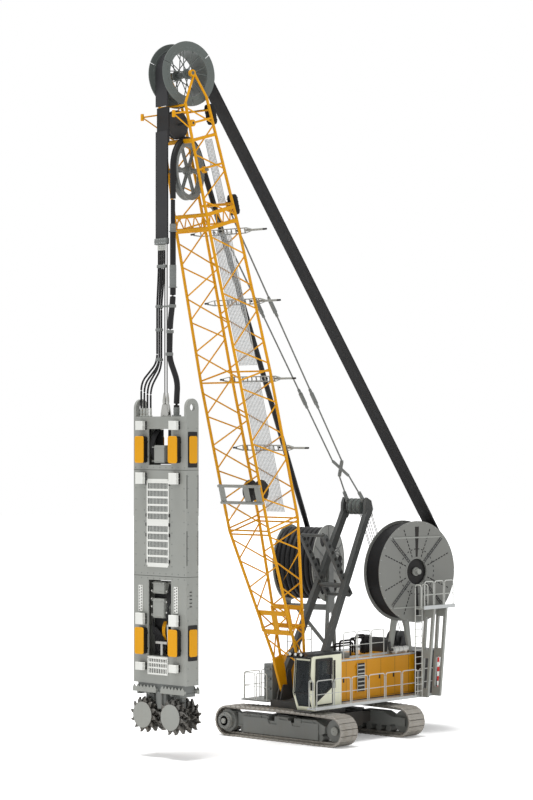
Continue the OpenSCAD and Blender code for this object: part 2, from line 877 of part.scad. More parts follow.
module at_belt_reel() {
    at_wheel(belt_reel, belt_yaw)
        children();
}

module belt_reel() {
    color(grey)
        at_belt_reel()
            difference() {
                union() {
                    for (side = [-1, 1])
                        translate([0, 0, side * (belt_reel_w / 2 - 20)])
                            cylinder(h = 40, r = belt_reel_r, center = true, $fn = 96);
                    cylinder(h = belt_reel_w, r = 900, center = true);
                }
                cylinder(h = belt_reel_w + 2, r = belt_axle_r + pin_gap, center = true);
            }
}

module wound_belt() {
    color(black)
        at_belt_reel()
            difference() {
                cylinder(h = belt_reel_w - 80 - 2 * seat_gap, r = wound_r, center = true, $fn = 96);
                cylinder(h = belt_reel_w, r = 900 + seat_gap, center = true);
            }
}

belt_roof = house_top + seat_gap - belt_reel_z;
stand_feet = [[-600, -430], [510, 700]];
stand_t = 120;
hub_half = 190;
platform_x = [-4950, -2900];
platform_y = [belt_reel_y + 750, belt_reel_y + 1250];
platform_z = 5100;
post_x = [-4400, -3600];
post_t = 120;
post_in = walk_y1 + seat_gap;
post_w = 420;
post_holes = [[0.1, 0.44], [0.54, 0.9]];

// Part of a post's plate: s runs across it and t up it, both from 0 to 1
function post_point(s, t) = mix(
    [post_in + s * post_w, walk_z], [mix(platform_y[0], platform_y[1], s), platform_z + 10], t);
function post_outline(s0, s1, t0, t1) =
    [post_point(s0, t0), post_point(s1, t0), post_point(s1, t1), post_point(s0, t1)];

module belt_reel_stand() {
    color(grey)
        union() {
            at_belt_reel() {
                cylinder(h = 2 * belt_stand_y + stand_t, r = belt_axle_r, center = true);
                translate([0, 0, belt_stand_y - stand_t / 2])
                    linear_extrude(stand_t)
                        for (foot = stand_feet)
                            polygon([
                                [foot[0], belt_roof], [foot[1], belt_roof], [hub_half, -hub_half],
                                [hub_half, hub_half], [-hub_half, hub_half], [-hub_half, -hub_half]
                            ]);
            }
            for (x = post_x)
                difference() {
                    plate_x(x - post_t / 2, x + post_t / 2, post_outline(0, 1, 0, 1));
                    for (t = post_holes)
                        plate_x(x - post_t, x + post_t, post_outline(0.24, 0.76, t[0], t[1]));
                }
            block([platform_x[0], platform_y[0], platform_z], [platform_x[1], platform_y[1],
                platform_z + walk_t]);
        }
}

// Slurry hose reel on its stand at the right
hose_axle_r = 100;

hose_lay = 525;
hose_drum_r = 760;
flange_t = 40;

module at_hose_reel() {
    at_wheel(hose_reel, hose_yaw)
        translate([0, 0, -hose_lay])
            children();
}

module hose_reel() {
    color(grey)
        at_hose_reel()
            difference() {
                union() {
                    for (side = [-1, 1])
                        translate([0, 0, side * (hose_reel_w - flange_t) / 2])
                            difference() {
                                cylinder(h = flange_t, r = hose_reel_r, center = true, $fn = 96);
                                for (a = [0 : 60 : 300])
                                    rotate(a)
                                        translate([1140, 0, 0])
                                            cylinder(h = flange_t + 2, r = 280, center = true);
                            }
                    cylinder(h = hose_reel_w, r = hose_drum_r, center = true);
                }
                cylinder(h = hose_reel_w + 2, r = hose_axle_r + pin_gap, center = true);
            }
}

module wound_hose() {
    color(black)
        at_hose_reel()
            difference() {
                cylinder(h = hose_reel_w - 2 * flange_t - 2 * seat_gap, r = wound_hose_r, center = true,
                    $fn = 96);
                cylinder(h = hose_reel_w, r = hose_drum_r + seat_gap, center = true);
            }
}

// Cradle: bearing plates both sides, a beam below the reel and a strut back to the roof
cradle_z = hose_reel_w / 2 + stand_gap;
cradle_t = 100;
cradle_beam = [130, -1950, -1720];
roof_drop = house_top + seat_gap - hose_reel_z;

module hose_reel_stand() {
    color(grey)
        at_hose_reel()
            union() {
                cylinder(h = 2 * (cradle_z + cradle_t), r = hose_axle_r, center = true);
                translate([0, 0, -cradle_z - cradle_t])
                    linear_extrude(cradle_t)
                        difference() {
                            polygon([[-520, roof_drop], [520, roof_drop], [170, 160], [-170, 160]]);
                            polygon([[-340, roof_drop + 150], [340, roof_drop + 150], [190, -2050],
                                [-190, -2050]]);
                        }
                translate([0, 0, cradle_z])
                    linear_extrude(cradle_t)
                        polygon([[-260, cradle_beam[1]], [260, cradle_beam[1]], [170, 160], [-170, 160]]);
                block([-cradle_beam[0], cradle_beam[1], -cradle_z - cradle_t],
                    [cradle_beam[0], cradle_beam[2], cradle_z + cradle_t]);
                beam([0, roof_drop + 75, -cradle_z - cradle_t / 2], [0, cradle_beam[1] + 60,
                    cradle_z * 0.6], 120, 120);
            }
}

// Derrick: two legs, a cross tube and a sheave head
function leg_foot(side) = [derrick_x, side * derrick_foot_y, derrick_z];
function leg_top(side) = [-derrick_head_x, side * derrick_top_y, derrick_head_z];
head_pin_r = 80;

head = [-derrick_head_x, 0, derrick_head_z];
head_sheave_r = 330;
head_sheaves = [-330, -110, 110, 330];
pendant_low = head + [150, 0, 250];
pendant_y = 430;
pendant_pin_r = 45;
ear_t = 120;
leg_end = 0.97;
// Backstop frame that leans from behind the legs up towards the boom
stop_low = [-1200, 0, 5670];
stop_high = [420, 0, 8140];
stop_y = 600;
stop_t = 130;
stop_d = 240;

module derrick() {
    color(grey)
        difference() {
            union() {
                for (side = [-1, 1]) {
                    beam(mix(leg_foot(side), leg_top(side), 0.01), mix(leg_foot(side), leg_top(side),
                        leg_end), leg_t, leg_d);
                    disc_y(leg_foot(side), leg_d / 2, leg_t - 24);
                    plate_y(side * derrick_top_y - ear_t / 2, side * derrick_top_y + ear_t / 2, [
                        [head.x - 200, head.z - 100], [head.x - 90, head.z + 250], [head.x + 190,
                            head.z + 380],
                        [head.x + 300, head.z + 150], [head.x + 330, head.z - 330], [head.x - 20,
                            head.z - 480]
                    ]);
                    disc_y([pendant_low.x, side * (pendant_y + derrick_top_y - 40) / 2, pendant_low.z],
                        pendant_pin_r,
                        derrick_top_y - pendant_y + 60);
                }
                rod(mix(leg_foot(-1), leg_top(-1), 0.52), mix(leg_foot(1), leg_top(1), 0.52), 100);
                for (side = [-1, 1])
                    beam(stop_low + [0, side * stop_y, 0], stop_high + [0, side * stop_y, 0], stop_t,
                        stop_d);
                for (end = [stop_low, stop_high])
                    disc_y(end, stop_t / 2, 2 * stop_y);
                disc_y(head, head_pin_r, 2 * derrick_top_y);
                for (y = head_sheaves)
                    disc_y(head + [0, y, 0], head_sheave_r, 70);
            }
            for (side = [-1, 1])
                disc_y(leg_foot(side), derrick_pin_r + pin_gap, leg_t + 40);
        }
}

// Pendants: short links, an equaliser, then two long rods up to the boom head
pendant_u = 19620;
pendant_w = chord_hd(pendant_u) + 145;
link_t = 60;
pendant_r = 32;
pendant_drop = 60;
equaliser_at = 0.105;
equaliser_y = 250;

function pendant_point(t) = mix(pendant_low, boom_point([pendant_u, 0, pendant_w]) - [0, 0,
    pendant_drop], t);

module pendants() {
    color(steel)
        difference() {
            union() {
                for (side = [-1, 1]) {
                    disc_y([pendant_low.x, side * pendant_y, pendant_low.z], 100, link_t);
                    rod(pendant_point(0) + [0, side * pendant_y, 0],
                        pendant_point(equaliser_at - 0.012) + [0, side * equaliser_y, 0], pendant_r);
                    rod(pendant_point(equaliser_at + 0.032) + [0, side * equaliser_y, 0],
                        pendant_point(1) + [0, side * pendant_y, 0], pendant_r);
                    beam(pendant_point(equaliser_at - 0.016) + [0, side * equaliser_y, 0],
                        pendant_point(equaliser_at + 0.036) - [0, side * equaliser_y, 0], 130,
                            110 + side * 10);
                    disc_y(pendant_point(1) + [0, side * pendant_y, 0], 70, link_t);
                }
            }
            for (side = [-1, 1])
                disc_y([pendant_low.x, side * pendant_y, pendant_low.z], pendant_pin_r + pin_gap,
                    link_t + 20);
        }
}

// Luffing ropes: falls from the derrick head and falls from the block on the tail lie side by side
luff_rope_r = 14;
luff_block = [-house_rear - 750, 0, weight_z + weight_h + head_sheave_r + 60];
luff_dir = (luff_block - head) / norm(luff_block - head);
luff_off = [luff_dir.z, 0, -luff_dir.x] * (head_sheave_r + luff_rope_r + seat_gap);
luff_len = norm(luff_block - head);
luff_short = 800;
block_sheaves = [-260, 0, 260];

module luffing_ropes() {
    color(dark)
        for (y = head_sheaves)
            rod(head + luff_off + [0, y, 0], head + luff_off + luff_dir * (luff_len - luff_short) + [0,
                y, 0], luff_rope_r);
}

module luffing_falls() {
    color(dark)
        for (y = block_sheaves)
            rod(luff_block + luff_off + [0, y, 0], luff_block + luff_off - luff_dir * luff_len + [0, y,
                0], luff_rope_r);
}

module luffing_block() {
    color(dark)
        union() {
            for (y = block_sheaves)
                disc_y(luff_block + [0, y, 0], head_sheave_r, 60);
            disc_y(luff_block, 60, 900);
            for (side = [-1, 1])
                plate_y(side * 420 - 30, side * 420 + 30, [
                    [luff_block.x - 300, weight_z + weight_h], [luff_block.x + 300, weight_z + weight_h],
                    [luff_block.x + 120, luff_block.z + 110], [luff_block.x - 120, luff_block.z + 110]
                ]);
        }
}

// Boom sections: four chords, zigzag bracing on the faces given, end frames
end_bay = 240;
end_bar = 80;
face_shift = 80;

module lattice(u0, u1, bays, faces) {
    intersection() {
        union() {
            for (k = [0 : 3])
                rod(corner(u0, k) - (corner(u1, k) - corner(u0, k)) * 0.02, corner(u1, k) + (corner(u1,
                    k) - corner(u0, k)) * 0.02,
                    chord_r);
            for (f = faces)
                for (i = [0 : bays - 1])
                    face_brace(mix(u0 + end_bay, u1 - end_bay, i / bays), mix(u0 + end_bay, u1 - end_bay,
                        (i + 1) / bays), f, i % 2);
        }
        block([u0 + seat_gap, -2000, -2000], [u1, 2000, 2000]);
    }
}

// One bracing tube in face f between chords f and f + 1, its ends inside the chords
module face_brace(ua, ub, f, flip) {
    shift = f % 2 == 0 ? -face_shift : face_shift;
    a = corner(ua + 1.4 * brace_r + shift, f + flip);
    b = corner(ub - 1.4 * brace_r + shift, f + 1 - flip);
    d = (b - a) / norm(b - a) * chord_r * 0.5;
    rod(a + d, b - d, brace_r);
}

// Cross bar in face f at one place along the boom
module cross_bar(u, f, r) {
    a = corner(u, f);
    b = corner(u, f + 1);
    d = (b - a) / norm(b - a) * chord_r * 0.5;
    rod(a + d, b - d, r);
}

// A bar in each face, those of the side faces a little higher
module frame_bars(u, r) {
    for (f = all_faces)
        cross_bar(u + (f % 2 == 0 ? -r - 5 : r + 5), f, r);
}

all_faces = [0, 1, 2, 3];
side_faces = [1, 3];

module boom_foot() {
    color(yellow)
        at_boom()
            difference() {
                union() {
                    lattice(1000, foot_end, 5, all_faces);
                    for (side = [-1, 1]) {
                        plate_y(side * foot_hw - foot_plate_t / 2, side * foot_hw + foot_plate_t / 2, [
                            [-150, -120], [0, -185], [900, -260], [1350, -280], [1350, 280], [900, 260],
                                [0, 185], [-150, 120]
                        ]);
                    }
                    for (u = [2650, foot_end - 90])
                        frame_bars(u, 34);
                }
                disc_y([0, 0, 0], foot_pin_r + pin_gap, 2 * foot_hw + 400);
            }
}

module boom_lower() {
    color(yellow)
        at_boom()
            union() {
                lattice(foot_end, lower_end, 5, all_faces);
                frame_bars(foot_end + end_bar, 34);
            }
}

module boom_upper() {
    color(yellow)
        at_boom()
            union() {
                lattice(lower_end, upper_end, 5, all_faces);
                frame_bars(lower_end + end_bar, 34);
            }
}

boss_r = 130;
boss_t = 130;
pendant_lug_y = pendant_y + link_t / 2 + run_gap + lug_t / 2;

module boom_head() {
    color(yellow)
        difference() {
            union() {
                at_boom() {
                    lattice(upper_end, head_end, 5, side_faces);
                    frame_bars(upper_end + end_bar, 34);
                    cross_bar(head_end - 100, 0, 42);
                    cross_bar(head_end - 500, 2, 42);
                    cross_bar(pendant_u, 2, 55);
                    for (side = [-1, 1])
                        plate_y(side * pendant_lug_y - lug_t / 2, side * pendant_lug_y + lug_t / 2, [
                            [pendant_u - 90, pendant_w - 130], [pendant_u + 90, pendant_w - 130],
                            [pendant_u + 60, pendant_w + 60], [pendant_u - 60, pendant_w + 60]
                        ]);
                    for (f = side_faces) {
                        cross_bar(hose_wheel_u, f, 42);
                        cross_bar(sheave_u, f, 42);
                    }
                }
                for (side = [-1, 1]) {
                    at_wheel(hose_wheel, hose_yaw)
                        translate([0, 0, side * (chord_hw(hose_wheel_u) + side * hose_wheel_y)])
                            cylinder(h = boss_t, r = boss_r, center = true);
                    disc_y([sheave.x, side * chord_hw(sheave_u), sheave.z], boss_r, boss_t);
                }
            }
            at_wheel(hose_wheel, hose_yaw)
                cylinder(h = 4 * boom_hw, r = 60 + pin_gap, center = true);
            disc_y([sheave.x, 0, sheave.z], 50 + pin_gap, 4 * boom_hw);
        }
}

top_bearing_y = top_wheel_width / 2 + 190;

module boom_top() {
    color(yellow)
        difference() {
            union() {
                for (side = [-1, 1]) {
                    at_wheel(top_wheel, belt_yaw)
                        translate([0, 0, -side * top_bearing_y])
                            cylinder(h = boss_t, r = boss_r, center = true);
                    at_boom()
                        for (w = [-1, 1])
                            rod([head_end + seat_gap, side * (chord_hw(head_end) + 10),
                                w * (chord_hd(head_end) - 10)],
                                [top_wheel_u, side * (top_bearing_y + 5), top_wheel_w], 48);
                }
            }
            at_wheel(top_wheel, belt_yaw)
                cylinder(h = 4 * boom_hw, r = 70 + pin_gap, center = true);
            at_boom()
                block([head_end - 500, -1000, -1000], [head_end + seat_gap, 1000, 1000]);
        }
}

// Grating walkway on the inside of the boom's rear face
grating_half_w = 450;
grating_t = 40;

module boom_walkway() {
    color(pale)
        at_boom()
            for (s = [[foot_end + 300, lower_end - 300], [lower_end + 300, upper_end - 300]])
                plate_y(-grating_half_w, grating_half_w, [
                    [s[0], chord_hd(s[0]) - brace_r - seat_gap], [s[1],
                        chord_hd(s[1]) - brace_r - seat_gap],
                    [s[1], chord_hd(s[1]) - brace_r - grating_t], [s[0],
                        chord_hd(s[0]) - brace_r - grating_t]
                ]);
}

arm_u = [9790, 12600, 15720, 18520];
arm_half = 2020;
arm_shift = 200;
arm_h = 100;

module hose_arms() {
    color(grey)
        at_boom()
            for (u = arm_u)
                block([u - arm_h / 2, -arm_half + arm_shift, chord_hd(u - arm_h / 2) + chord_r + seat_gap],
                    [u + arm_h / 2, arm_half + arm_shift, chord_hd(u) + chord_r + arm_h]);
}

// Rubber buffers on the rear left chord: place along the boom, outer edge
buffer_table = [[head_end - 700, 720], [upper_end + 700, 880]];
buffer_l = 500;
buffer_w = 320;
buffer_d = 280;

module buffers() {
    color(black)
        at_boom()
            for (b = buffer_table)
                block([b[0] - buffer_l / 2, b[1] - buffer_w,
                    chord_hd(b[0] - buffer_l / 2) + chord_r + seat_gap],
                    [b[0] + buffer_l / 2, b[1], chord_hd(b[0]) + chord_r + buffer_d]);
}

// Wheels of the head
spoke_w = 30;
hose_wheel_width = 280;

module top_wheel() {
    color(grey)
        at_wheel(top_wheel, belt_yaw)
            union() {
                difference() {
                    cylinder(h = top_wheel_width, r = belt_r - belt_t - seat_gap, center = true, $fn = 96);
                    cylinder(h = top_wheel_width + 2, r = belt_r - belt_t - 80, center = true, $fn = 96);
                }
                for (side = [-1, 1])
                    translate([0, 0, side * (top_wheel_width / 2 - 20)])
                        difference() {
                            cylinder(h = 40, r = top_wheel_r, center = true, $fn = 96);
                            cylinder(h = 42, r = belt_r - belt_t - 60, center = true, $fn = 96);
                        }
                for (side = [-1, 1], a = [0 : 45 : 135])
                    rotate(a)
                        translate([0, 0, side * (top_wheel_width / 2 - 60)])
                            cube([2 * (belt_r - belt_t - 40), spoke_w, spoke_w], center = true);
                cylinder(h = top_wheel_width, r = 130, center = true);
                cylinder(h = 2 * top_bearing_y + boss_t, r = 70, center = true);
            }
}

groove_gap = 6;

module hose_wheel() {
    color(pale)
        at_wheel(hose_wheel, hose_yaw)
            union() {
                difference() {
                    cylinder(h = hose_wheel_width, r = hose_wheel_r, center = true, $fn = 96);
                    cylinder(h = hose_wheel_width + 2, r = hose_wheel_r - 200, center = true, $fn = 96);
                    rotate_extrude($fn = 96)
                        translate([hose_line_r + hose_r, 0])
                            circle(r = hose_r + groove_gap);
                }
                for (a = [0 : 60 : 300])
                    rotate(a)
                        translate([80, -60, -40])
                            cube([hose_wheel_r - 250, 120, 80]);
                cylinder(h = 320, r = 140, center = true);
                cylinder(h = 2 * chord_hw(hose_wheel_u) + 200, r = 60, center = true);
            }
}

module rope_sheave() {
    color(dark)
        union() {
            disc_y(sheave, sheave_r - 30, 160);
            for (side = [-1, 1])
                disc_y(sheave + [0, side * 60, 0], sheave_r, 30);
            disc_y([sheave.x, 0, sheave.z], 50, 2 * chord_hw(sheave_u) + 150);
        }
}

// Belt over the top wheel, and its straight run to the reel
belt_run = norm([top_wheel.x - belt_reel.x, top_wheel.y - belt_reel.y]);
belt_off = tangent_angle(belt_run, belt_reel.z - top_wheel.z, belt_line_r, wound_r + belt_t / 2 + 25);
belt_run_len = sqrt(pow(norm([belt_run, belt_reel.z - top_wheel.z]), 2) - pow(wound_r - belt_r, 2));
tail_end = top_wheel.z - top_wheel_r - 40;
lap_angle = 2;

module belt_over_wheel() {
    color(black)
        at_wheel(top_wheel, belt_yaw)
            union() {
                rotate_extrude(angle = 180 - belt_off - lap_angle, $fn = 96)
                    translate([belt_r - belt_t, -belt_w / 2])
                        square([belt_t, belt_w]);
                translate([belt_r - belt_t, tail_end - top_wheel.z, -belt_w / 2])
                    cube([belt_t, top_wheel.z - tail_end, belt_w]);
            }
}

module belt_back_run() {
    color(black)
        at_wheel(top_wheel, belt_yaw)
            rotate(180 - belt_off)
                translate([belt_r - belt_t, seat_gap, -belt_w / 2])
                    cube([belt_t, belt_run_len, belt_w]);
}

// Slurry hose over its wheel, and its straight run to the reel
hose_run = norm([hose_wheel.x - hose_reel.x, hose_wheel.y - hose_reel.y]);
hose_seat = 0.8;
hose_path_r = hose_line_r + hose_r + hose_seat;
hose_off = tangent_angle(hose_run, hose_reel.z - hose_wheel.z, hose_path_r, wound_hose_r + hose_r + 25);
hose_run_len = sqrt(pow(norm([hose_run, hose_reel.z - hose_wheel.z]),
    2) - pow(wound_hose_r - hose_path_r, 2));
hose_tail_end = hose_wheel.z - hose_wheel_r - 40;

module hose_over_wheel() {
    color(black)
        at_wheel(hose_wheel, hose_yaw)
            union() {
                rotate_extrude(angle = 180 - hose_off - lap_angle, $fn = 96)
                    translate([hose_path_r, 0])
                        circle(r = hose_r, $fn = 96);
                translate([hose_path_r, 0, 0])
                    rotate([90, 0, 0])
                        cylinder(h = hose_wheel.z - hose_tail_end, r = hose_r, $fn = 96);
            }
}

module hose_back_run() {
    color(black)
        at_wheel(hose_wheel, hose_yaw)
            rotate(180 - hose_off)
                translate([hose_path_r, seat_gap, 0])
                    rotate([-90, 0, 0])
                        cylinder(h = hose_run_len, r = hose_r);
}

// What hangs from the head
belt_front = top_wheel + [(belt_r - belt_t / 2) * cos(belt_yaw), (belt_r - belt_t / 2) * sin(belt_yaw), 0];
hose_front = hose_wheel + [hose_path_r * cos(hose_yaw), hose_path_r * sin(hose_yaw), 0];
hang_gap = 45;
hoist_down = 300;
hoist_up = 900;
rope_lanes = [-60, 60];
belt_clamp_z = 19400;
rope_low = cutter_top - 150;

module hoist_ropes() {
    color(steel)
        for (y = rope_lanes)
            rod([rope_x, cutter_y + y, rope_low], [rope_x, cutter_y + y, sheave.z], rope_r);
}

tail_len = hoist_down + hoist_up + 150;
hose_tail_r = hose_r - 26;
belt_top = tail_end - hang_gap - hoist_up;
hose_top = hose_tail_end - hang_gap - hoist_up;

module hose_tails() {
    color(black) {
        translate([belt_front.x, belt_front.y, tail_end - hang_gap - tail_len])
            rotate([0, 0, belt_yaw])
                block([-belt_t * 1.5 - seat_gap, -belt_w / 2, 0], [-belt_t / 2 - seat_gap, belt_w / 2,
                    tail_len]);
        translate([hose_front.x, hose_front.y, hose_tail_end - hang_gap - tail_len])
            cylinder(h = tail_len, r = hose_tail_r);
    }
}

module hanging_belt() {
    color(black)
        translate([belt_front.x, belt_front.y, belt_clamp_z])
            rotate([0, 0, belt_yaw])
                block([-belt_t / 2, -belt_w / 2, 0], [belt_t / 2, belt_w / 2, belt_top - belt_clamp_z]);
}

// Slurry hose with a bore for its tail, and the thin hoses: a flat band below the belt, a bundle beside the
// ropes and a fan above the cutter
thin_hose_r = 38;
hose_fan = 105;
bundle_pitch = 115;
bundle_spot = [cutter_x + 160, cutter_y - 200];
band_z = cutter_top + 5600;
bundle_z = cutter_top + 4200;
fan_z = cutter_top + 2050;
knee_z = cutter_top + 1300;
fan_drop = 70;
stub_step = 170;
stub_first = cutter_y - 1230;
stub_x = 100;
slurry_foot = [cutter_x, cutter_y + 560, cutter_top + seat_gap];
slurry_knees = [
    [hose_front.x, hose_front.y, bundle_z + 200], [cutter_x + 120, cutter_y + 340, bundle_z - 700],
    [cutter_x + 120, cutter_y + 300, fan_z + 150], [cutter_x + 50, cutter_y + 670, knee_z],
    [cutter_x, cutter_y + 560, cutter_top + 600]
];

// A hose along a line of points, with a ball at each knee
module laid_hose(points, r) {
    for (i = [1 : len(points) - 1])
        rod(points[i], points[i - 1], r - i % 2);
    for (i = [1 : len(points) - 2])
        translate(points[i])
            sphere(r + 2);
}

module slurry_hose() {
    top = [hose_front.x, hose_front.y, hose_top];
    difference() {
        laid_hose([top, each slurry_knees, slurry_foot], hose_r);
        rod(top - [0, 0, tail_len + 10], top + [0, 0, 1], hose_tail_r + pin_gap);
    }
}

module thin_hose(i) {
    band_y = belt_front.y + (i - 1.5) * hose_fan;
    spot = bundle_spot + bundle_pitch * [0.5 - i % 2, floor(i / 2) - 0.5];
    foot = [cutter_x + stub_x, stub_first + i * stub_step];
    laid_hose([[belt_front.x, band_y, belt_clamp_z - seat_gap], [belt_front.x, band_y, band_z],
        [spot.x, spot.y, bundle_z], [spot.x, spot.y, fan_z - i * fan_drop],
        [foot.x, foot.y, knee_z - i * fan_drop], [foot.x, foot.y, cutter_top + seat_gap]], thin_hose_r);
}

module hanging_hoses() {
    color(black) {
        slurry_hose();
        for (i = [0 : 3])
            thin_hose(i);
    }
}

// Cutter: hollow frame with cut windows, pads, gear housing and two wheels
lift_t = 120;
lift_z = 340;
window_half = 600;
window_z = [[cutter_top - 1830, cutter_top - 470], [cutter_bottom + 1050, cutter_bottom + 3920]];

module cutter_frame() {
    color(grey)
        difference() {
            union() {
                block([cutter_x - cutter_t / 2, cutter_y - cutter_w / 2, cutter_bottom],
                    [cutter_x + cutter_t / 2, cutter_y + cutter_w / 2, cutter_top]);
                for (side = [-1, 1])
                    translate([cutter_x, cutter_y + side * (cutter_w - lift_t) / 2, cutter_top]) {
                        block([-cutter_t / 2, -lift_t / 2, -10], [cutter_t / 2, lift_t / 2, lift_z]);
                        disc_y([0, 0, lift_z], cutter_t / 2 - 4, lift_t);
                    }
            }
            block([cutter_x - cutter_t / 2 + cutter_wall, cutter_y - cutter_w / 2 + cutter_wall,
                cutter_bottom + cutter_wall],
                [cutter_x + cutter_t / 2 - cutter_wall, cutter_y + cutter_w / 2 - cutter_wall,
                    cutter_top - cutter_wall]);
            for (z = window_z)
                block([cutter_x - cutter_t, cutter_y - window_half, z[0]], [cutter_x + cutter_t,
                    cutter_y + window_half, z[1]]);
            disc_y([cutter_x, cutter_y, cutter_top + lift_z], lift_bore / 2, cutter_w + 10);
            for (y = rope_lanes)
                rod([rope_x, cutter_y + y, cutter_top - 2 * cutter_wall], [rope_x, cutter_y + y,
                    cutter_top + 10], rope_r + pin_gap);
        }
}

pad_z = [cutter_bottom + 1090, cutter_top - 1760];
pad_h = 1020;
pad_w = 480;
pad_y = 885;
side_pad = [420, 60];
// Guide shoes: foot and height of each row
guide_shoe_w = 400;
shoe_rows = [[cutter_bottom + 490, 300], [cutter_bottom + 2220, 430], [cutter_top - 2550, 430],
    [cutter_top - 510, 340]];

module on_faces(y, z) {
    for (face = [-1, 1])
        translate([cutter_x + face * (cutter_t / 2 + pad_out / 2 + seat_gap), cutter_y + y, z])
            children();
}

module cutter_pads() {
    color(yellow)
        for (side = [-1, 1]) {
            for (z = pad_z) {
                on_faces(side * pad_y, z + pad_h / 2)
                    cube([pad_out, pad_w, pad_h], center = true);
                translate([cutter_x, cutter_y + side * ((cutter_w + side_pad[1]) / 2 + seat_gap),
                    z + pad_h / 2])
                    cube([side_pad[0], side_pad[1], pad_h], center = true);
            }
            for (row = shoe_rows)
                on_faces(side * pad_y, row[0] + row[1] / 2)
                    cube([pad_out, guide_shoe_w, row[1]], center = true);
        }
}

gear_t = 200;

module cutter_gear() {
    color(dark)
        union() {
            block([cutter_x - cutter_t / 2 + 40, cutter_y - 1200, cutter_bottom - 300],
                [cutter_x + cutter_t / 2 - 40, cutter_y + 1200, cutter_bottom - seat_gap]);
            for (side = [-1, 1]) {
                block([cutter_x - gear_t / 2, cutter_y + side * wheel_spacing / 2 - 220, wheel_z],
                    [cutter_x + gear_t / 2, cutter_y + side * wheel_spacing / 2 + 220,
                        cutter_bottom - 200]);
                disc_x([cutter_x, cutter_y + side * wheel_spacing / 2, wheel_z], 300, gear_t);
                disc_x([cutter_x, cutter_y + side * wheel_spacing / 2, wheel_z], 120, wheel_set_t - 80);
            }
        }
}

module cutter_yoke() {
    color(steel)
        difference() {
            block([rope_x - 110, cutter_y - 190, cutter_top + seat_gap], [rope_x + 110, cutter_y + 190,
                cutter_top + 900]);
            for (y = rope_lanes)
                rod([rope_x, cutter_y + y, cutter_top - 10], [rope_x, cutter_y + y, cutter_top + 910],
                    rope_r + pin_gap);
        }
}

tooth_count = 12;

module cutter_wheel(side) {
    c = [cutter_x, cutter_y + side * wheel_spacing / 2, wheel_z];
    half = (wheel_set_t - gear_t) / 2 - run_gap;
    color(steel)
        difference() {
            union() {
                for (face = [-1, 1])
                    translate([c.x + face * (gear_t / 2 + run_gap + half / 2), c.y, c.z]) {
                        rotate([0, 90, 0])
                            cylinder(h = half, r = wheel_disc_r, center = true);
                        for (i = [0 : tooth_count - 1])
                            rotate([i * 360 / tooth_count, 0, 0])
                                translate([-half / 2 + 40, -55, wheel_disc_r - 30])
                                    cube([half - 80, 110, wheel_tip_r - wheel_disc_r + 30]);
                    }
            }
            disc_x(c, 120 + pin_gap, wheel_set_t - 70);
        }
}

module cutter_wheel_left() { cutter_wheel(1); }
module cutter_wheel_right() { cutter_wheel(-1); }

carbody();
track_frame_front();
track_frame_rear();
track_front();
track_rear();
track_wheels();
upper_frame();
counterweight();
house_left();
house_right();
house_door();
engine();
winch_front();
winch_rear();
cab_shell();
cab_glass();
cab_visor();
cab_door();
cab_seat();
walkways();
hand_rails();
hose_manifold();
silencer();
belt_reel_stand();
belt_reel();
wound_belt();
hose_reel_stand();
hose_reel();
wound_hose();
derrick();
pendants();
luffing_ropes();
luffing_falls();
luffing_block();
boom_foot();
boom_lower();
boom_upper();
boom_head();
boom_top();
boom_walkway();
hose_arms();
buffers();
top_wheel();
hose_wheel();
rope_sheave();
belt_over_wheel();
hose_over_wheel();
belt_back_run();
hose_back_run();
hoist_ropes();
hose_tails();
cutter_frame();
cutter_pads();
cutter_gear();
cutter_yoke();
hanging_belt();
hanging_hoses();
cutter_wheel_left();
cutter_wheel_right();
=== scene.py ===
# %% [markdown]
# # A trench cutter crane, dressed in Blender
# The machine is a crawler crane whose lattice boom carries a slurry-wall cutter on ropes and hoses.
# Its solids and joints come from CAD. This lesson gives them paint, steel, rubber and glass, and adds
# the finer pieces that solids leave out. Everything is in metres: x forward, y to the left, z up.

# %% Load the solids
import math

import bpy
import numpy as np
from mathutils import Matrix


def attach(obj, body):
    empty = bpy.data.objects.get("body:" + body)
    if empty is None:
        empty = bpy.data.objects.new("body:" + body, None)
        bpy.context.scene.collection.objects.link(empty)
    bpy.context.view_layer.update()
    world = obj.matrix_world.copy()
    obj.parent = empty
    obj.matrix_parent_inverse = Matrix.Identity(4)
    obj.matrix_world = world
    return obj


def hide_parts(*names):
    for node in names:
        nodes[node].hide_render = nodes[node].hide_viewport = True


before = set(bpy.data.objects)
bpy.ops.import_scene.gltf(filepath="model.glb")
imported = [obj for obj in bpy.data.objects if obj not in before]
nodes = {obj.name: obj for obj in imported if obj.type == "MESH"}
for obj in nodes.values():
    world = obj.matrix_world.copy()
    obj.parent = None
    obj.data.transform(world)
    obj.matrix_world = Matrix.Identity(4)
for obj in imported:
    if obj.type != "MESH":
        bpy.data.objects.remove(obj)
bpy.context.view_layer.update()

# %% [markdown]
# ## The camera
# The photograph is taken level, from the front left and far away, so upright lines stay upright.
# A level camera with a small upward shift does the same, where a tilted one would make the boom lean.

# %% Camera at the photograph's place
PHOTO_H = 800
FOCAL_PX = 2350
HORIZON_PX = 435
eye = np.array([72.0, 62.6, 12.2])
look = np.array([-0.7396, -0.673, 0.0])

camera_data = bpy.data.cameras.new("camera")
camera_data.sensor_width = 36
camera_data.lens = FOCAL_PX / PHOTO_H * 36
camera_data.shift_y = (HORIZON_PX - PHOTO_H / 2) / PHOTO_H
camera_data.clip_end = 600
camera = bpy.data.objects.new("camera", camera_data)
camera.location = eye
camera.rotation_euler = (math.pi / 2, 0, math.atan2(look[1], look[0]) - math.pi / 2)
bpy.context.scene.collection.objects.link(camera)
bpy.context.scene.camera = camera
print("lens", round(camera_data.lens, 2), "mm")

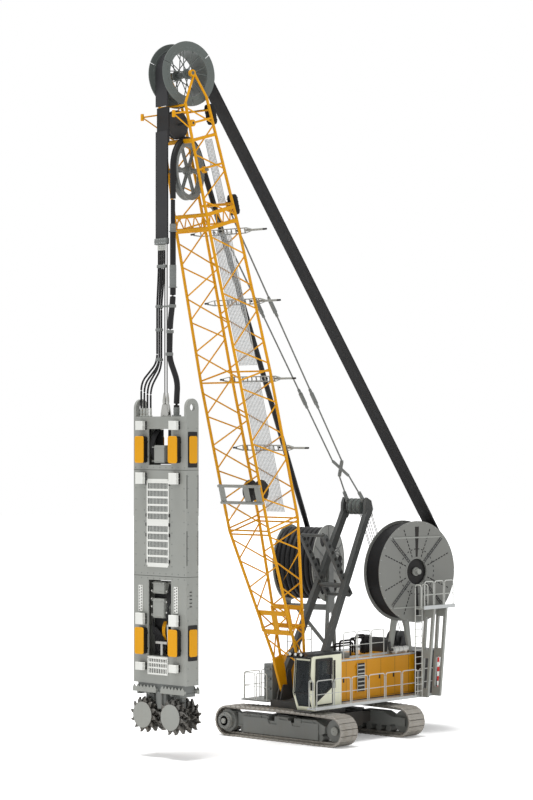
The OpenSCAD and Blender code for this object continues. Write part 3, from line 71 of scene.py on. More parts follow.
# %% [markdown]
# ## Surfaces from arrays
# Nearly every new piece here is one of four surfaces: a profile carried along a path, a profile turned
# about an axis, an outline given a thickness, or a chamfered bar. Each is worked out as whole numpy
# arrays, so thousands of corners cost one line, and copies are made by one matrix product.


# %% Profiles carried along paths
def unit(v):
    """Each row divided by its length."""
    v = np.asarray(v, float)
    return v / np.linalg.norm(v, axis=-1, keepdims=True)


def grid_faces(rows, cols, wrap):
    """Quads between neighbours of a rows x cols grid, its last column joined to the first if wrap."""
    i, j = np.meshgrid(np.arange(rows - 1), np.arange(cols if wrap else cols - 1), indexing="ij")
    k = (j + 1) % cols
    return np.stack([i * cols + j, i * cols + k, (i + 1) * cols + k, (i + 1) * cols + j],
                    -1).reshape(-1, 4).tolist()


def sweep(path, profile, up=(0, 0, 1), scale=None):
    """Point = path + a * side + b * top: the profile's (a, b) set square to the path at each point."""
    path, profile = np.asarray(path, float), np.asarray(profile, float)
    along = unit(np.gradient(path, axis=0))
    side = np.cross(along, np.broadcast_to(np.asarray(up, float), along.shape))
    weak = np.linalg.norm(side, axis=1) < 0.05
    side[weak] = np.cross(along[weak], (0.0, 1.0, 0.0))
    side = unit(side)
    top = np.cross(side, along)
    grow = np.ones(len(path)) if scale is None else np.asarray(scale, float)
    ring = profile[None, :, :] * grow[:, None, None]
    points = path[:, None, :] + ring[..., :1] * side[:, None, :] + ring[..., 1:] * top[:, None, :]
    n, m = len(path), len(profile)
    caps = [list(range(m))[::-1], list(range((n - 1) * m, n * m))]
    faces = [f[::-1] for f in grid_faces(n, m, True)]
    return points.reshape(-1, 3), faces + [c[::-1] for c in caps]


def circle(radius, sides=12):
    """Points (r cos t, r sin t) at even steps of t."""
    t = np.arange(sides) * 2 * math.pi / sides
    return np.stack([radius * np.cos(t), radius * np.sin(t)], -1)


def tube(path, radius, sides=10):
    """A round profile carried along a path."""
    return sweep(path, circle(radius, sides))


def rounded(points, radius, steps=5):
    """A path whose inner corners are quadratic bends that start radius away from each corner."""
    p = np.asarray(points, float)
    a = p[1:-1] + unit(p[:-2] - p[1:-1]) * radius
    b = p[1:-1] + unit(p[2:] - p[1:-1]) * radius
    t = np.linspace(0, 1, steps)[None, :, None]
    bends = (1 - t) ** 2 * a[:, None] + 2 * t * (1 - t) * p[1:-1, None] + t**2 * b[:, None]
    return np.concatenate([p[:1], bends.reshape(-1, 3), p[-1:]])


def spline(points, steps=8):
    """Catmull-Rom curve through the points: each stretch is a cubic of its four nearest points."""
    p = np.asarray(points, float)
    q = np.concatenate([2 * p[:1] - p[1:2], p, 2 * p[-1:] - p[-2:-1]])
    t = np.linspace(0, 1, steps, endpoint=False)[None, :, None]
    a, b, c, d = q[:-3, None], q[1:-2, None], q[2:-1, None], q[3:, None]
    curve = 0.5 * (2 * b + (c - a) * t + (2 * a - 5 * b + 4 * c - d) * t**2 + (3 * b - a - 3 * c + d) * t**3)
    return np.concatenate([curve.reshape(-1, 3), p[-1:]])


# %% Profiles turned about an axis, thick outlines and bars
class Place:
    """A local frame: world point = origin + x * ex + y * ey + z * ez."""

    def __init__(self, origin, ex, ey):
        self.origin = np.asarray(origin, float)
        self.axes = np.stack([unit(ex), unit(ey), np.cross(unit(ex), unit(ey))])

    def __call__(self, points):
        return self.origin + np.asarray(points, float) @ self.axes

    def put(self, shape):
        return self(shape[0]), shape[1]




def lathe(profile, sides=48, arc=(0, 360)):
    """Point = (r cos t, r sin t, z) for each (r, z) of the profile. A closed profile gives a ring."""
    profile = np.asarray(profile, float)
    turn = np.sum(profile[:, 0] * np.roll(profile[:, 1], -1) - profile[:, 1] * np.roll(profile[:, 0], -1))
    profile = profile if turn > 0 else profile[::-1]
    whole = abs(arc[1] - arc[0]) >= 360
    t = np.radians(np.linspace(*arc, sides + (0 if whole else 1), endpoint=not whole))
    r, z = profile[:, 0][None], profile[:, 1][None]
    points = np.stack([r * np.cos(t)[:, None], r * np.sin(t)[:, None], z + 0 * t[:, None]], -1)
    n, m = len(t), len(profile)
    i, j = np.meshgrid(np.arange(n if whole else n - 1), np.arange(m), indexing="ij")
    a, b = (i + 1) % n, (j + 1) % m
    faces = np.stack([i * m + j, a * m + j, a * m + b, i * m + b], -1).reshape(-1, 4).tolist()
    if not whole:
        faces += [list(range(m)), list(range((n - 1) * m, n * m))[::-1]]
    return points.reshape(-1, 3), faces


def ring(r0, r1, z0, z1, bevel=0.006, sides=48, arc=(0, 360)):
    """A washer from radius r0 to r1 and height z0 to z1 with chamfered edges."""
    b = min(bevel, (r1 - r0) / 3, (z1 - z0) / 3)
    return lathe([(r0 + b, z0), (r1 - b, z0), (r1, z0 + b), (r1, z1 - b), (r1 - b, z1), (r0 + b, z1),
                  (r0, z1 - b), (r0, z0 + b)], sides, arc)


def disc(r, z0, z1, bevel=0.006, sides=32):
    """A round plate: a washer whose inner edge is nearly shut, with flat caps."""
    b = min(bevel, r / 3, (z1 - z0) / 3)
    t = np.arange(sides) * 2 * math.pi / sides
    rows = np.array([(r - b, z0), (r, z0 + b), (r, z1 - b), (r - b, z1)])
    points = np.stack([rows[:, :1] * np.cos(t), rows[:, :1] * np.sin(t), rows[:, 1:] + 0 * t], -1)
    faces = grid_faces(4, sides, True)
    return points.reshape(-1, 3), faces + [list(range(sides))[::-1], list(range(3 * sides, 4 * sides))]


def slab(outline, z0, z1, bevel=0.006):
    """An outline in x and y from z0 to z1, its rims drawn in by the bevel along the corner bisectors."""
    p = np.asarray(outline, float)
    turn = np.sum(p[:, 0] * np.roll(p[:, 1], -1) - p[:, 1] * np.roll(p[:, 0], -1))
    p = p if turn > 0 else p[::-1]
    before, after = unit(p - np.roll(p, 1, 0)), unit(np.roll(p, -1, 0) - p)
    normal = np.stack([-(before + after)[:, 1], (before + after)[:, 0]], -1)
    share = np.clip(1 + np.sum(before * after, -1, keepdims=True), 0.3, None)
    b = min(bevel, (z1 - z0) / 3)
    inner = p + normal / share * b
    rows = [(inner, z0), (p, z0 + b), (p, z1 - b), (inner, z1)]
    points = np.concatenate([np.column_stack([q, np.full(len(q), z)]) for q, z in rows])
    n = len(p)
    return points, grid_faces(4, n, True) + [list(range(n))[::-1], list(range(3 * n, 4 * n))]


def bars(starts, ends, width, depth, up=(0, 0, 1), bevel=0.004):
    """N straight bars at once: a chamfered rectangle at both ends of each, pulled in at the very ends."""
    a, b = np.atleast_2d(np.asarray(starts, float)), np.atleast_2d(np.asarray(ends, float))
    along = unit(b - a)
    side = np.cross(along, np.broadcast_to(np.asarray(up, float), along.shape))
    weak = np.linalg.norm(side, axis=1) < 0.05
    side[weak] = np.cross(along[weak], (1.0, 0.0, 0.0))
    side = unit(side)
    top = np.cross(side, along)
    w, d, c = width / 2, depth / 2, min(bevel, width / 3, depth / 3)
    outline = np.array([(w - c, -d), (w, c - d), (w, d - c), (w - c, d), (c - w, d), (-w, d - c), (-w, c - d),
                        (c - w, -d)])
    shrink = 1 - c / max(min(w, d), 1e-6)
    rings = [(a, shrink), (a + along * c, 1.0), (b - along * c, 1.0), (b, shrink)]
    across = outline[None, :, :1] * side[:, None] + outline[None, :, 1:] * top[:, None]
    points = np.stack([p[:, None] + s * across for p, s in rings], 1)
    one = [f[::-1] for f in grid_faces(4, 8, True)] + [list(range(8)), list(range(24, 32))[::-1]]
    count = len(a)
    faces = [[v + 32 * k for v in f] for k in range(count) for f in one]
    return points.reshape(-1, 3), faces


def boxes(lows, highs, bevel=0.008):
    """N upright boxes between their lowest and highest corners, as bars along x."""
    lows, highs = np.atleast_2d(np.asarray(lows, float)), np.atleast_2d(np.asarray(highs, float))
    made = []
    for low, high in zip(lows, highs):
        mid, size = (low + high) / 2, high - low
        half = np.array([size[0] / 2, 0, 0])
        made.append(bars(mid - half, mid + half, size[1], size[2], bevel=bevel))
    return join(*made)


def join(*shapes):
    """Several shapes as one: their points one after another, their faces counted on."""
    starts = np.cumsum([0] + [len(s[0]) for s in shapes])
    return (np.concatenate([s[0] for s in shapes]),
            [[v + k for v in f] for s, k in zip(shapes, starts.tolist()) for f in s[1]])


def copies(shape, spots=None, turns=None, axis=2, centre=(0, 0, 0)):
    """The shape moved to each spot, or turned by each angle in degrees about an axis through the centre."""
    points, faces = shape
    if turns is not None:
        t = np.radians(np.asarray(turns, float))
        i, j = [(1, 2), (2, 0), (0, 1)][axis]
        turn = np.zeros((len(t), 3, 3))
        turn[:, axis, axis] = 1
        turn[:, i, i], turn[:, j, j] = np.cos(t), np.cos(t)
        turn[:, j, i], turn[:, i, j] = np.sin(t), -np.sin(t)
        every = np.einsum("kij,nj->kni", turn, points - np.asarray(centre)) + np.asarray(centre)
    else:
        every = points[None] + np.asarray(spots, float)[:, None]
    n = len(points)
    return every.reshape(-1, 3), [[v + n * k for v in f] for k in range(len(every)) for f in faces]


made_pieces = []


def piece(name, body, finish, *shapes, stands_for=(), crease=35):
    """One mesh object at the origin from the shapes given, with its finish, riding on a body of the frame."""
    points, faces = join(*shapes)
    mesh = bpy.data.meshes.new(name)
    mesh.from_pydata(points.tolist(), [], faces)
    mesh.validate()
    mesh.shade_smooth()
    mesh.set_sharp_from_angle(angle=math.radians(crease))
    mesh.materials.append(finish)
    thing = bpy.data.objects.new(name, mesh)
    bpy.context.scene.collection.objects.link(thing)
    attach(thing, body)
    if stands_for:
        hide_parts(*stands_for)
    made_pieces.append((name, sum(len(f) - 2 for f in faces)))
    return thing


# %% [markdown]
# ## Finishes
# The real machine is freshly painted, with a little road dust low down and faint streaks under its edges.
# Three effects are shared by many finishes, so each is one node group: soiling, a fine grain for the bump,
# and worn edges, whose pale colour is partly wear and partly a painted highlight. The shader itself stays in
# each material, so that the export can read it.


# %% Node helpers and the shared effects
def colour(r, g, b):
    """A display colour from 0 to 255 turned into the linear values that a shader wants."""
    v = np.array([r, g, b], float) / 255
    linear = np.where(v <= 0.04045, v / 12.92, ((v + 0.055) / 1.055) ** 2.4)
    return (*linear.tolist(), 1.0)


def group(name, inputs, outputs):
    """A new node group with named sockets: inputs as (name, kind, default), outputs as (name, kind)."""
    tree = bpy.data.node_groups.new(name, "ShaderNodeTree")
    for title, kind, default in inputs:
        socket = tree.interface.new_socket(name=title, in_out="INPUT", socket_type=kind)
        socket.default_value = default
    for title, kind in outputs:
        tree.interface.new_socket(name=title, in_out="OUTPUT", socket_type=kind)
    return tree, tree.nodes.new("NodeGroupInput"), tree.nodes.new("NodeGroupOutput")


def add(tree, kind, links=(), **settings):
    """A node with its settings, its numbered or named inputs linked to sockets or set to values."""
    made = tree.nodes.new(kind)
    for key, value in settings.items():
        setattr(made, key, value)
    for key, value in dict(links).items():
        if isinstance(value, bpy.types.NodeSocket):
            tree.links.new(value, made.inputs[key])
        else:
            made.inputs[key].default_value = value
    return made


def math_node(tree, operation, a, b=0.0, clamp=False):
    return add(tree, "ShaderNodeMath", {0: a, 1: b}, operation=operation, use_clamp=clamp).outputs[0]


def blend_colour(tree, share, a, b, kind="MIX"):
    made = add(tree, "ShaderNodeMix", data_type="RGBA", blend_type=kind)
    for key, value in ((0, share), (6, a), (7, b)):
        if isinstance(value, bpy.types.NodeSocket):
            tree.links.new(value, made.inputs[key])
        else:
            made.inputs[key].default_value = value
    return made.outputs[2]


def spread(tree, value, low, high, to_low=0.0, to_high=1.0):
    return add(tree, "ShaderNodeMapRange", {0: value, 1: low, 2: high, 3: to_low, 4: to_high}).outputs[0]


def object_place(tree):
    return add(tree, "ShaderNodeTexCoord").outputs["Object"]


def noise(tree, place, scale, detail=3.0, stretch=(1, 1, 1)):
    moved = add(tree, "ShaderNodeMapping", {"Vector": place, "Scale": stretch}).outputs[0]
    return add(tree, "ShaderNodeTexNoise", {"Vector": moved, "Scale": scale, "Detail": detail}).outputs["Fac"]


soiling, soil_in, soil_out = group(
    "soiling",
    [("Colour", "NodeSocketColor", (0.5, 0.5, 0.5, 1)), ("Soil", "NodeSocketColor", colour(120, 108, 90)),
     ("Amount", "NodeSocketFloat", 0.3), ("Roughness", "NodeSocketFloat", 0.4)],
    [("Colour", "NodeSocketColor"), ("Roughness", "NodeSocketFloat")],
)
place = object_place(soiling)
height = add(soiling, "ShaderNodeSeparateXYZ", {0: place}).outputs["Z"]
clouds = noise(soiling, place, 0.9, 5.0)
streaks = noise(soiling, place, 3.0, 4.0, (1.6, 1.6, 0.12))
low_dust = spread(soiling, height, 2.6, 0.1)
mask = math_node(soiling, "MULTIPLY", spread(soiling, clouds, 0.42, 0.72),
                 spread(soiling, streaks, 0.35, 0.7))
mask = math_node(soiling, "ADD", math_node(soiling, "MULTIPLY", mask, 0.55),
                 math_node(soiling, "MULTIPLY", low_dust, 0.45))
mask = math_node(soiling, "MULTIPLY", mask, soil_in.outputs["Amount"], clamp=True)
shade = spread(soiling, noise(soiling, place, 0.35, 2.0), 0.3, 0.7, 0.94, 1.05)
varied = add(soiling, "ShaderNodeVectorMath", {0: soil_in.outputs["Colour"]}, operation="SCALE")
soiling.links.new(shade, varied.inputs["Scale"])
soiling.links.new(blend_colour(soiling, mask, varied.outputs[0], soil_in.outputs["Soil"]),
                  soil_out.inputs["Colour"])
rough = math_node(soiling, "ADD", soil_in.outputs["Roughness"], math_node(soiling, "MULTIPLY", mask, 0.35),
                  clamp=True)
rough = math_node(soiling, "ADD", rough, spread(soiling, streaks, 0.3, 0.7, -0.05, 0.05), clamp=True)
soiling.links.new(rough, soil_out.inputs["Roughness"])

grain, grain_in, grain_out = group(
    "fine grain",
    [("Size", "NodeSocketFloat", 60.0), ("Lumps", "NodeSocketFloat", 0.5)],
    [("Height", "NodeSocketFloat")],
)
place = object_place(grain)
fine = add(grain, "ShaderNodeTexNoise",
           {"Vector": place, "Scale": grain_in.outputs["Size"], "Detail": 4.0}).outputs["Fac"]
lumps = add(grain, "ShaderNodeTexNoise", {"Vector": place, "Scale": 2.2, "Detail": 2.0}).outputs["Fac"]
grain.links.new(math_node(grain, "ADD", fine, math_node(grain, "MULTIPLY", lumps, grain_in.outputs["Lumps"])),
                grain_out.inputs["Height"])

worn_and_lit_edges, lit_edge_in, lit_edge_out = group(
    "worn and highlighted edges",
    [("Width", "NodeSocketFloat", 0.012), ("Amount", "NodeSocketFloat", 0.5)],
    [("Mask", "NodeSocketFloat")],
)
# The pale colour along the edges stands for worn paint and also paints a highlight on them.
soft = add(worn_and_lit_edges, "ShaderNodeBevel", {"Radius": lit_edge_in.outputs["Width"]}, samples=4).outputs[0]
true = add(worn_and_lit_edges, "ShaderNodeNewGeometry").outputs["Normal"]
near = add(worn_and_lit_edges, "ShaderNodeVectorMath", {0: soft, 1: true}, operation="DOT_PRODUCT").outputs["Value"]
edge = spread(worn_and_lit_edges, near, 0.985, 0.8)
chips = spread(worn_and_lit_edges, noise(worn_and_lit_edges, object_place(worn_and_lit_edges), 14.0, 5.0), 0.42, 0.6)
edge = math_node(worn_and_lit_edges, "MULTIPLY", math_node(worn_and_lit_edges, "MULTIPLY", edge, chips),
                 lit_edge_in.outputs["Amount"], clamp=True)
worn_and_lit_edges.links.new(edge, lit_edge_out.inputs["Mask"])
print("shared effects", [g.name for g in (soiling, grain, worn_and_lit_edges)])


# %% Paint, steel, rubber and the rest
def finish(name, base, rough=0.45, metal=0.0, soil=0.3, soil_colour=(120, 108, 90), size=60.0, bump=0.06,
           lumps=0.4,
           wear_and_highlight=0.0, wear_and_highlight_colour=(196, 198, 196), coat=0.0):
    """A material: soiled base colour, a pale metal colour on edges that is partly wear and partly a painted
    highlight, and a fine grain as bump.
    """
    made = bpy.data.materials.new(name)
    made.use_nodes = True
    made.diffuse_color = colour(*base)
    tree = made.node_tree
    shader = tree.nodes["Principled BSDF"]
    shader.inputs["Specular IOR Level"].default_value = 0.22
    dirt = add(tree, "ShaderNodeGroup", node_tree=soiling)
    dirt.inputs["Colour"].default_value = colour(*base)
    dirt.inputs["Soil"].default_value = colour(*soil_colour)
    dirt.inputs["Amount"].default_value = soil
    dirt.inputs["Roughness"].default_value = rough
    tint = dirt.outputs["Colour"]
    shader.inputs["Metallic"].default_value = metal
    if wear_and_highlight:
        edges = add(tree, "ShaderNodeGroup", node_tree=worn_and_lit_edges)
        edges.inputs["Amount"].default_value = wear_and_highlight
        tint = blend_colour(tree, edges.outputs["Mask"], tint, colour(*wear_and_highlight_colour))
    tree.links.new(tint, shader.inputs["Base Color"])
    tree.links.new(dirt.outputs["Roughness"], shader.inputs["Roughness"])
    shader.inputs["Coat Weight"].default_value = coat
    shader.inputs["Coat Roughness"].default_value = 0.15
    skin = add(tree, "ShaderNodeGroup", node_tree=grain)
    skin.inputs["Size"].default_value = size
    skin.inputs["Lumps"].default_value = lumps
    raised = add(tree, "ShaderNodeBump",
                 {"Height": skin.outputs["Height"], "Strength": bump, "Distance": 0.02})
    tree.links.new(raised.outputs[0], shader.inputs["Normal"])
    return made


yellow = finish("boom yellow paint", (219, 154, 0), 0.5, soil=0.06, wear_and_highlight=0.12)
house_yellow = finish("house yellow paint", (210, 144, 0), 0.42, soil=0.08, wear_and_highlight=0.1, coat=0.1, size=90)
grey = finish("machine grey paint", (150, 152, 147), 0.42, soil=0.25, wear_and_highlight=0.4, coat=0.1)
light_grey = finish("pale grey paint", (190, 192, 187), 0.42, soil=0.22, wear_and_highlight=0.3)
mid_grey = finish("mid grey paint", (118, 121, 119), 0.45, soil=0.28, wear_and_highlight=0.4)
dark_grey = finish("dark grey paint", (62, 63, 64), 0.5, soil=0.4, wear_and_highlight=0.35)
black_paint = finish("black paint", (24, 24, 25), 0.42, soil=0.3, wear_and_highlight=0.3, wear_and_highlight_colour=(90, 90, 90))
white_paint = finish("white paint", (226, 227, 222), 0.4, soil=0.2, wear_and_highlight=0.2)
cream = finish("cab cream paint", (229, 229, 205), 0.3, soil=0.12, wear_and_highlight=0.15, coat=0.4)
derrick_grey = finish("derrick grey paint", (74, 76, 75), 0.42, soil=0.2, wear_and_highlight=0.4)
olive_grey = finish("wheel olive paint", (98, 104, 101), 0.4, soil=0.2, wear_and_highlight=0.3)
track_steel = finish("track steel", (160, 157, 151), 0.48, 0.75, soil=0.45, wear_and_highlight=0.8, size=35, bump=0.2,
                     lumps=0.8)
bright_steel = finish("bright steel", (176, 176, 172), 0.34, 0.9, soil=0.2, size=120, bump=0.04)
tooth_steel = finish("tooth steel", (96, 95, 92), 0.45, 0.7, soil=0.4, wear_and_highlight=0.9, size=30, bump=0.15)
zinc = finish("galvanised steel", (186, 189, 189), 0.45, 0.55, soil=0.2, size=28, bump=0.05, lumps=0.2)
belt_rubber = finish("belt rubber", (46, 46, 48), 0.55, soil=0.22, size=55, bump=0.12,
                     soil_colour=(96, 96, 96))
belt_back = finish("belt back rubber", (27, 27, 28), 0.6, soil=0.2, size=55, bump=0.12,
                   soil_colour=(80, 80, 80))
hose_rubber = finish("hose rubber", (30, 30, 31), 0.5, soil=0.2, size=70, bump=0.1, soil_colour=(90, 90, 90))
buffer_rubber = finish("buffer rubber", (22, 22, 23), 0.62, soil=0.15, size=40, bump=0.14,
                       soil_colour=(80, 80, 80))
rope_steel = finish("rope steel", (86, 85, 82), 0.42, 0.7, soil=0.2, size=140, bump=0.5, lumps=0.0)
seat_cloth = finish("seat cloth", (38, 39, 42), 0.85, soil=0.05, size=400, bump=0.3, lumps=0.0)
print("finishes", len(bpy.data.materials))


# %% Tinted glass
def tinted(name, base, rough=0.05, clear=0.75):
    """Glass for the cab: mostly see-through with a grey tint, and faint smears in its roughness."""
    made = bpy.data.materials.new(name)
    made.use_nodes = True
    tree = made.node_tree
    shader = tree.nodes["Principled BSDF"]
    shader.inputs["Transmission Weight"].default_value = clear
    shader.inputs["IOR"].default_value = 1.1
    smear = noise(tree, object_place(tree), 5.0, 4.0, (1, 1, 0.3))
    tree.links.new(spread(tree, smear, 0.35, 0.7, rough, rough + 0.08), shader.inputs["Roughness"])
    tree.links.new(blend_colour(tree, spread(tree, smear, 0.3, 0.8, 0.0, 0.25), colour(*base),
                                colour(150, 152, 150)),
                   shader.inputs["Base Color"])
    return made


cab_tint = tinted("tinted glass", (92, 98, 102))

# %% [markdown]
# ## Finishes for the solids
# A solid whose shape is right keeps its shape and only gets a finish. The list below says which.

# %% Give each solid its finish
solid_finish = {
    "carbody": dark_grey, "track_frame_front": mid_grey, "track_frame_rear": mid_grey,
    "track_front": track_steel,
    "track_rear": track_steel, "track_wheels": mid_grey, "upper_frame": dark_grey,
    "counterweight": black_paint,
    "house_left": house_yellow, "house_right": house_yellow, "house_door": house_yellow, "engine": dark_grey,
    "winch_front": rope_steel, "winch_rear": rope_steel, "cab_shell": cream, "cab_glass": cab_tint,
    "cab_door": cream,
    "cab_visor": black_paint,
    "cab_seat": seat_cloth, "walkways": zinc, "hand_rails": light_grey, "hose_manifold": mid_grey,
    "silencer": white_paint, "belt_reel_stand": grey, "belt_reel": grey, "wound_belt": belt_back,
    "hose_reel_stand": mid_grey, "hose_reel": grey, "wound_hose": hose_rubber, "derrick": derrick_grey,
    "pendants": mid_grey, "luffing_ropes": rope_steel, "luffing_falls": rope_steel,
    "luffing_block": dark_grey,
    "boom_foot": yellow, "boom_lower": yellow, "boom_upper": yellow, "boom_head": yellow, "boom_top": yellow,
    "boom_walkway": zinc, "hose_arms": grey, "buffers": buffer_rubber, "top_wheel": olive_grey,
    "hose_wheel": light_grey, "rope_sheave": dark_grey, "belt_over_wheel": belt_rubber,
    "hose_over_wheel": hose_rubber,
    "belt_back_run": belt_back, "hose_back_run": hose_rubber, "hoist_ropes": rope_steel,
    "hose_tails": hose_rubber,
    "cutter_frame": grey, "cutter_pads": yellow, "cutter_gear": mid_grey, "cutter_yoke": bright_steel,
    "hanging_belt": belt_rubber, "hanging_hoses": hose_rubber, "cutter_wheel_left": tooth_steel,
    "cutter_wheel_right": tooth_steel,
}
for name, thing in nodes.items():
    thing.data.materials.clear()
    thing.data.materials.append(solid_finish[name])
print("solids finished", len(solid_finish))

# %% [markdown]
# ## Hanging hoses
# Four thin hoses leave the lower end of the belt as a flat band, run down as a bundle beside the ropes and
# fan out above the cutter. Each is a tube, and the length of its route is printed. The slurry hose is far
# thicker and stays a plain tube. Clamps hold the bundle together.

# %% Cords and couplings
HOSE_R = 0.038
SLURRY_R = 0.11
BAND_X, BAND_Y, BAND_STEP = 8.919, -0.163, 0.105
BUNDLE_X, BUNDLE_Y, BUNDLE_STEP = 8.91, -0.30, 0.115
FOOT_X, FOOT_Y, FOOT_STEP = 8.85, -1.33, 0.17
BAND_Z, BUNDLE_Z, FAN_Z, KNEE_Z, FAN_DROP = 18.5, 17.1, 14.95, 14.2, 0.07


def hose_lane(i):
    """The corner points of thin hose i, from the belt's end down to the cutter."""
    band = (BAND_X, BAND_Y + (i - 1.5) * BAND_STEP)
    spot = (BUNDLE_X + BUNDLE_STEP * (0.5 - i % 2), BUNDLE_Y + BUNDLE_STEP * (i // 2 - 0.5))
    foot = (FOOT_X, FOOT_Y + FOOT_STEP * i)
    drop = FAN_DROP * i
    return [(*band, 19.40), (*band, BAND_Z), (*spot, BUNDLE_Z), (*spot, FAN_Z - drop),
            (*foot, KNEE_Z - drop), (*foot, 12.90)]


def coupling(x, y, low, high, radius, lip):
    """A sleeve with a flange at its foot and two clamp bands, turned about a plumb line."""
    bands = [ring(radius, radius + 0.012, low + (high - low) * t, low + (high - low) * t + 0.03, 0.003, 24)
             for t in (0.45, 0.8)]
    return copies(join(ring(radius * 0.97, radius + 0.006, low, high, 0.004, 24),
                       ring(radius * 0.97, lip, low, low + 0.035, 0.006, 24), *bands), spots=[(x, y, 0)])


cord_pieces = []
for i in range(4):
    lane = hose_lane(i)
    (x0, y0, _), (x1, y1, _) = lane[0], lane[-1]
    route = rounded(lane, 0.33, 14)
    end = piece(f"hose_end_{i}", "cutter", light_grey, coupling(x1, y1, 12.905, 13.22, HOSE_R, 0.075),
                coupling(x0, y0, 19.18, 19.395, HOSE_R, 0.042))
    hose = piece(f"hanging_hose_{i}", "cutter", hose_rubber, tube(route, HOSE_R, 12),
                 stands_for=["hanging_hoses"])
    run = float(np.linalg.norm(np.diff(route, axis=0), axis=1).sum())
    cord_pieces.append(round(run, 3))
print("cord lengths", cord_pieces)

# %% Slurry hose and its flanges
slurry_route = rounded([(8.889, 0.406, 20.16), (8.889, 0.406, 17.3), (8.87, 0.24, 16.4), (8.87, 0.2, 15.1),
                        (8.8, 0.57, 14.2), (8.75, 0.46, 13.5), (8.75, 0.46, 12.905)], 0.33, 10)
piece("slurry_hose", "cutter", hose_rubber, tube(slurry_route, SLURRY_R, 24), stands_for=["hanging_hoses"])
flange_bolts = copies(copies(disc(0.014, 12.94, 12.965, 0.003, 8), spots=[(0.15, 0, 0)]),
                      turns=np.arange(0, 360, 45))
piece("slurry_flange", "cutter", mid_grey, coupling(8.75, 0.46, 12.905, 13.24, SLURRY_R, 0.18),
      copies(flange_bolts, spots=[(8.75, 0.46, 0)]), coupling(8.889, 0.406, 19.85, 20.15, SLURRY_R, 0.15))
print("slurry hose", len(slurry_route), "points")

# %% [markdown]
# ## Clamps
# Steel clamps keep the hoses from swinging apart. Boxes hold the thin hoses. Rings hold the thick one,
# because a ring of the hose's own radius sits on it without a gap.

# %% Hose clamps
band_clamp = boxes([(8.862, -0.38, BAND_Z + 0.02)], [(8.976, 0.055, BAND_Z + 0.14)], 0.012)
bundle_clamps = boxes([(8.79, -0.42, z - 0.06) for z in (17.06, 16.18, 15.05)],
                      [(9.03, -0.18, z + 0.06) for z in (17.06, 16.18, 15.05)], 0.03)
spreader = boxes([(8.83, -0.19, 17.03)], [(8.95, 0.31, 17.09)], 0.012)
ring_clamps = [copies(ring(SLURRY_R - 0.004, SLURRY_R + 0.035, z - 0.06, z + 0.06, 0.012, 28),
                      spots=[(x, y, 0)])
               for x, y, z in ((8.884, 0.37, 17.06), (8.87, 0.231, 16.1), (8.87, 0.205, 15.25))]
sleeve = coupling(8.889, 0.406, 17.75, 18.6, SLURRY_R + 0.012, 0.165)
piece("hose_clamps", "cutter", mid_grey, band_clamp, bundle_clamps, spreader, *ring_clamps, sleeve)
print("hose clamps", made_pieces[-1])

# %% Belt end clamp and the rope yoke
belt_end = Place((8.919, -0.163, 19.5), (0.159, 0.987, 0), (0, 0, 1))
clamp_bolts = copies(disc(0.02, 0.075, 0.1, 0.004, 6),
                     spots=[(a, b, 0) for a in np.linspace(-0.33, 0.33, 7) for b in (-0.04, 0.09)])
piece("belt_end_clamp", "cutter", mid_grey,
      belt_end.put(boxes([(-0.39, -0.09, -0.075)], [(0.39, 0.14, 0.075)], 0.015)))
piece("belt_end_bolts", "cutter", zinc, belt_end.put(clamp_bolts))
yoke = Place((8.75, -0.1, 12.9), (0, 1, 0), (0, 0, 1))
gusset = [(-0.19, 0.004), (0.19, 0.004), (0.19, 0.12), (0.11, 0.46), (-0.11, 0.46), (-0.19, 0.12)]
sockets = [lathe([(0.024, 0.44), (0.05, 0.44), (0.072, 0.52), (0.07, 0.62), (0.034, 0.9), (0.024, 0.9)], 20)]
socket_pair = copies(sockets[0], spots=[(8.75, -0.1 + s * 0.082, 12.9) for s in (-1, 1)])
piece("rope_yoke", "cutter", bright_steel, yoke.put(slab(gusset, 0.05, 0.105, 0.012)),
      yoke.put(slab(gusset, -0.105, -0.05, 0.012)),
      boxes([(8.64, -0.29, 12.904)], [(8.86, 0.09, 12.95)], 0.01),
      boxes([(8.70, -0.24, 13.05)], [(8.80, 0.04, 13.36)], 0.02),
      yoke.put(disc(0.06, -0.11, 0.11, 0.01, 24)), socket_pair, stands_for=["cutter_yoke"])
print("yoke pieces", 3)

# %% [markdown]
# ## Crawlers
# A track is a loop of forged shoes, each with ribs that grip, bolted to a chain of links. The loop is one
# curve with four stretches, so a run length gives a place, and one shoe is set at 56 even runs along it.

# %% Track shoes and links
TRACK_X, SHOE_W, TRACK_LEN, TRACK_H, TRACK_RISE, SHOES = 2.1, 1.0, 6.8, 1.24, 0.05, 56
END_R = TRACK_H / 2
END_Y = TRACK_LEN / 2 - END_R
FLAT, BEND = 2 * END_Y, math.pi * END_R
PITCH = (2 * FLAT + 2 * BEND) / SHOES


def track_loop(run):
    """Point (y, z) at a run along the loop: lower run, far end, upper run with its rise, near end."""
    s = np.asarray(run) % (2 * FLAT + 2 * BEND)
    a, b, back = (s - FLAT) / END_R, (s - 2 * FLAT - BEND) / END_R, s - FLAT - BEND - END_Y
    stretch = [s < FLAT, s < FLAT + BEND, s < 2 * FLAT + BEND]
    y = np.select(stretch, [END_Y - s, -END_Y - END_R * np.sin(a), back], END_Y + END_R * np.sin(b))
    z = np.select(stretch, [0 * s, END_R - END_R * np.cos(a),
                            TRACK_H + TRACK_RISE * (1 - (back / END_Y) ** 2)],
                  END_R + END_R * np.cos(b))
    return np.stack([y, z], -1)


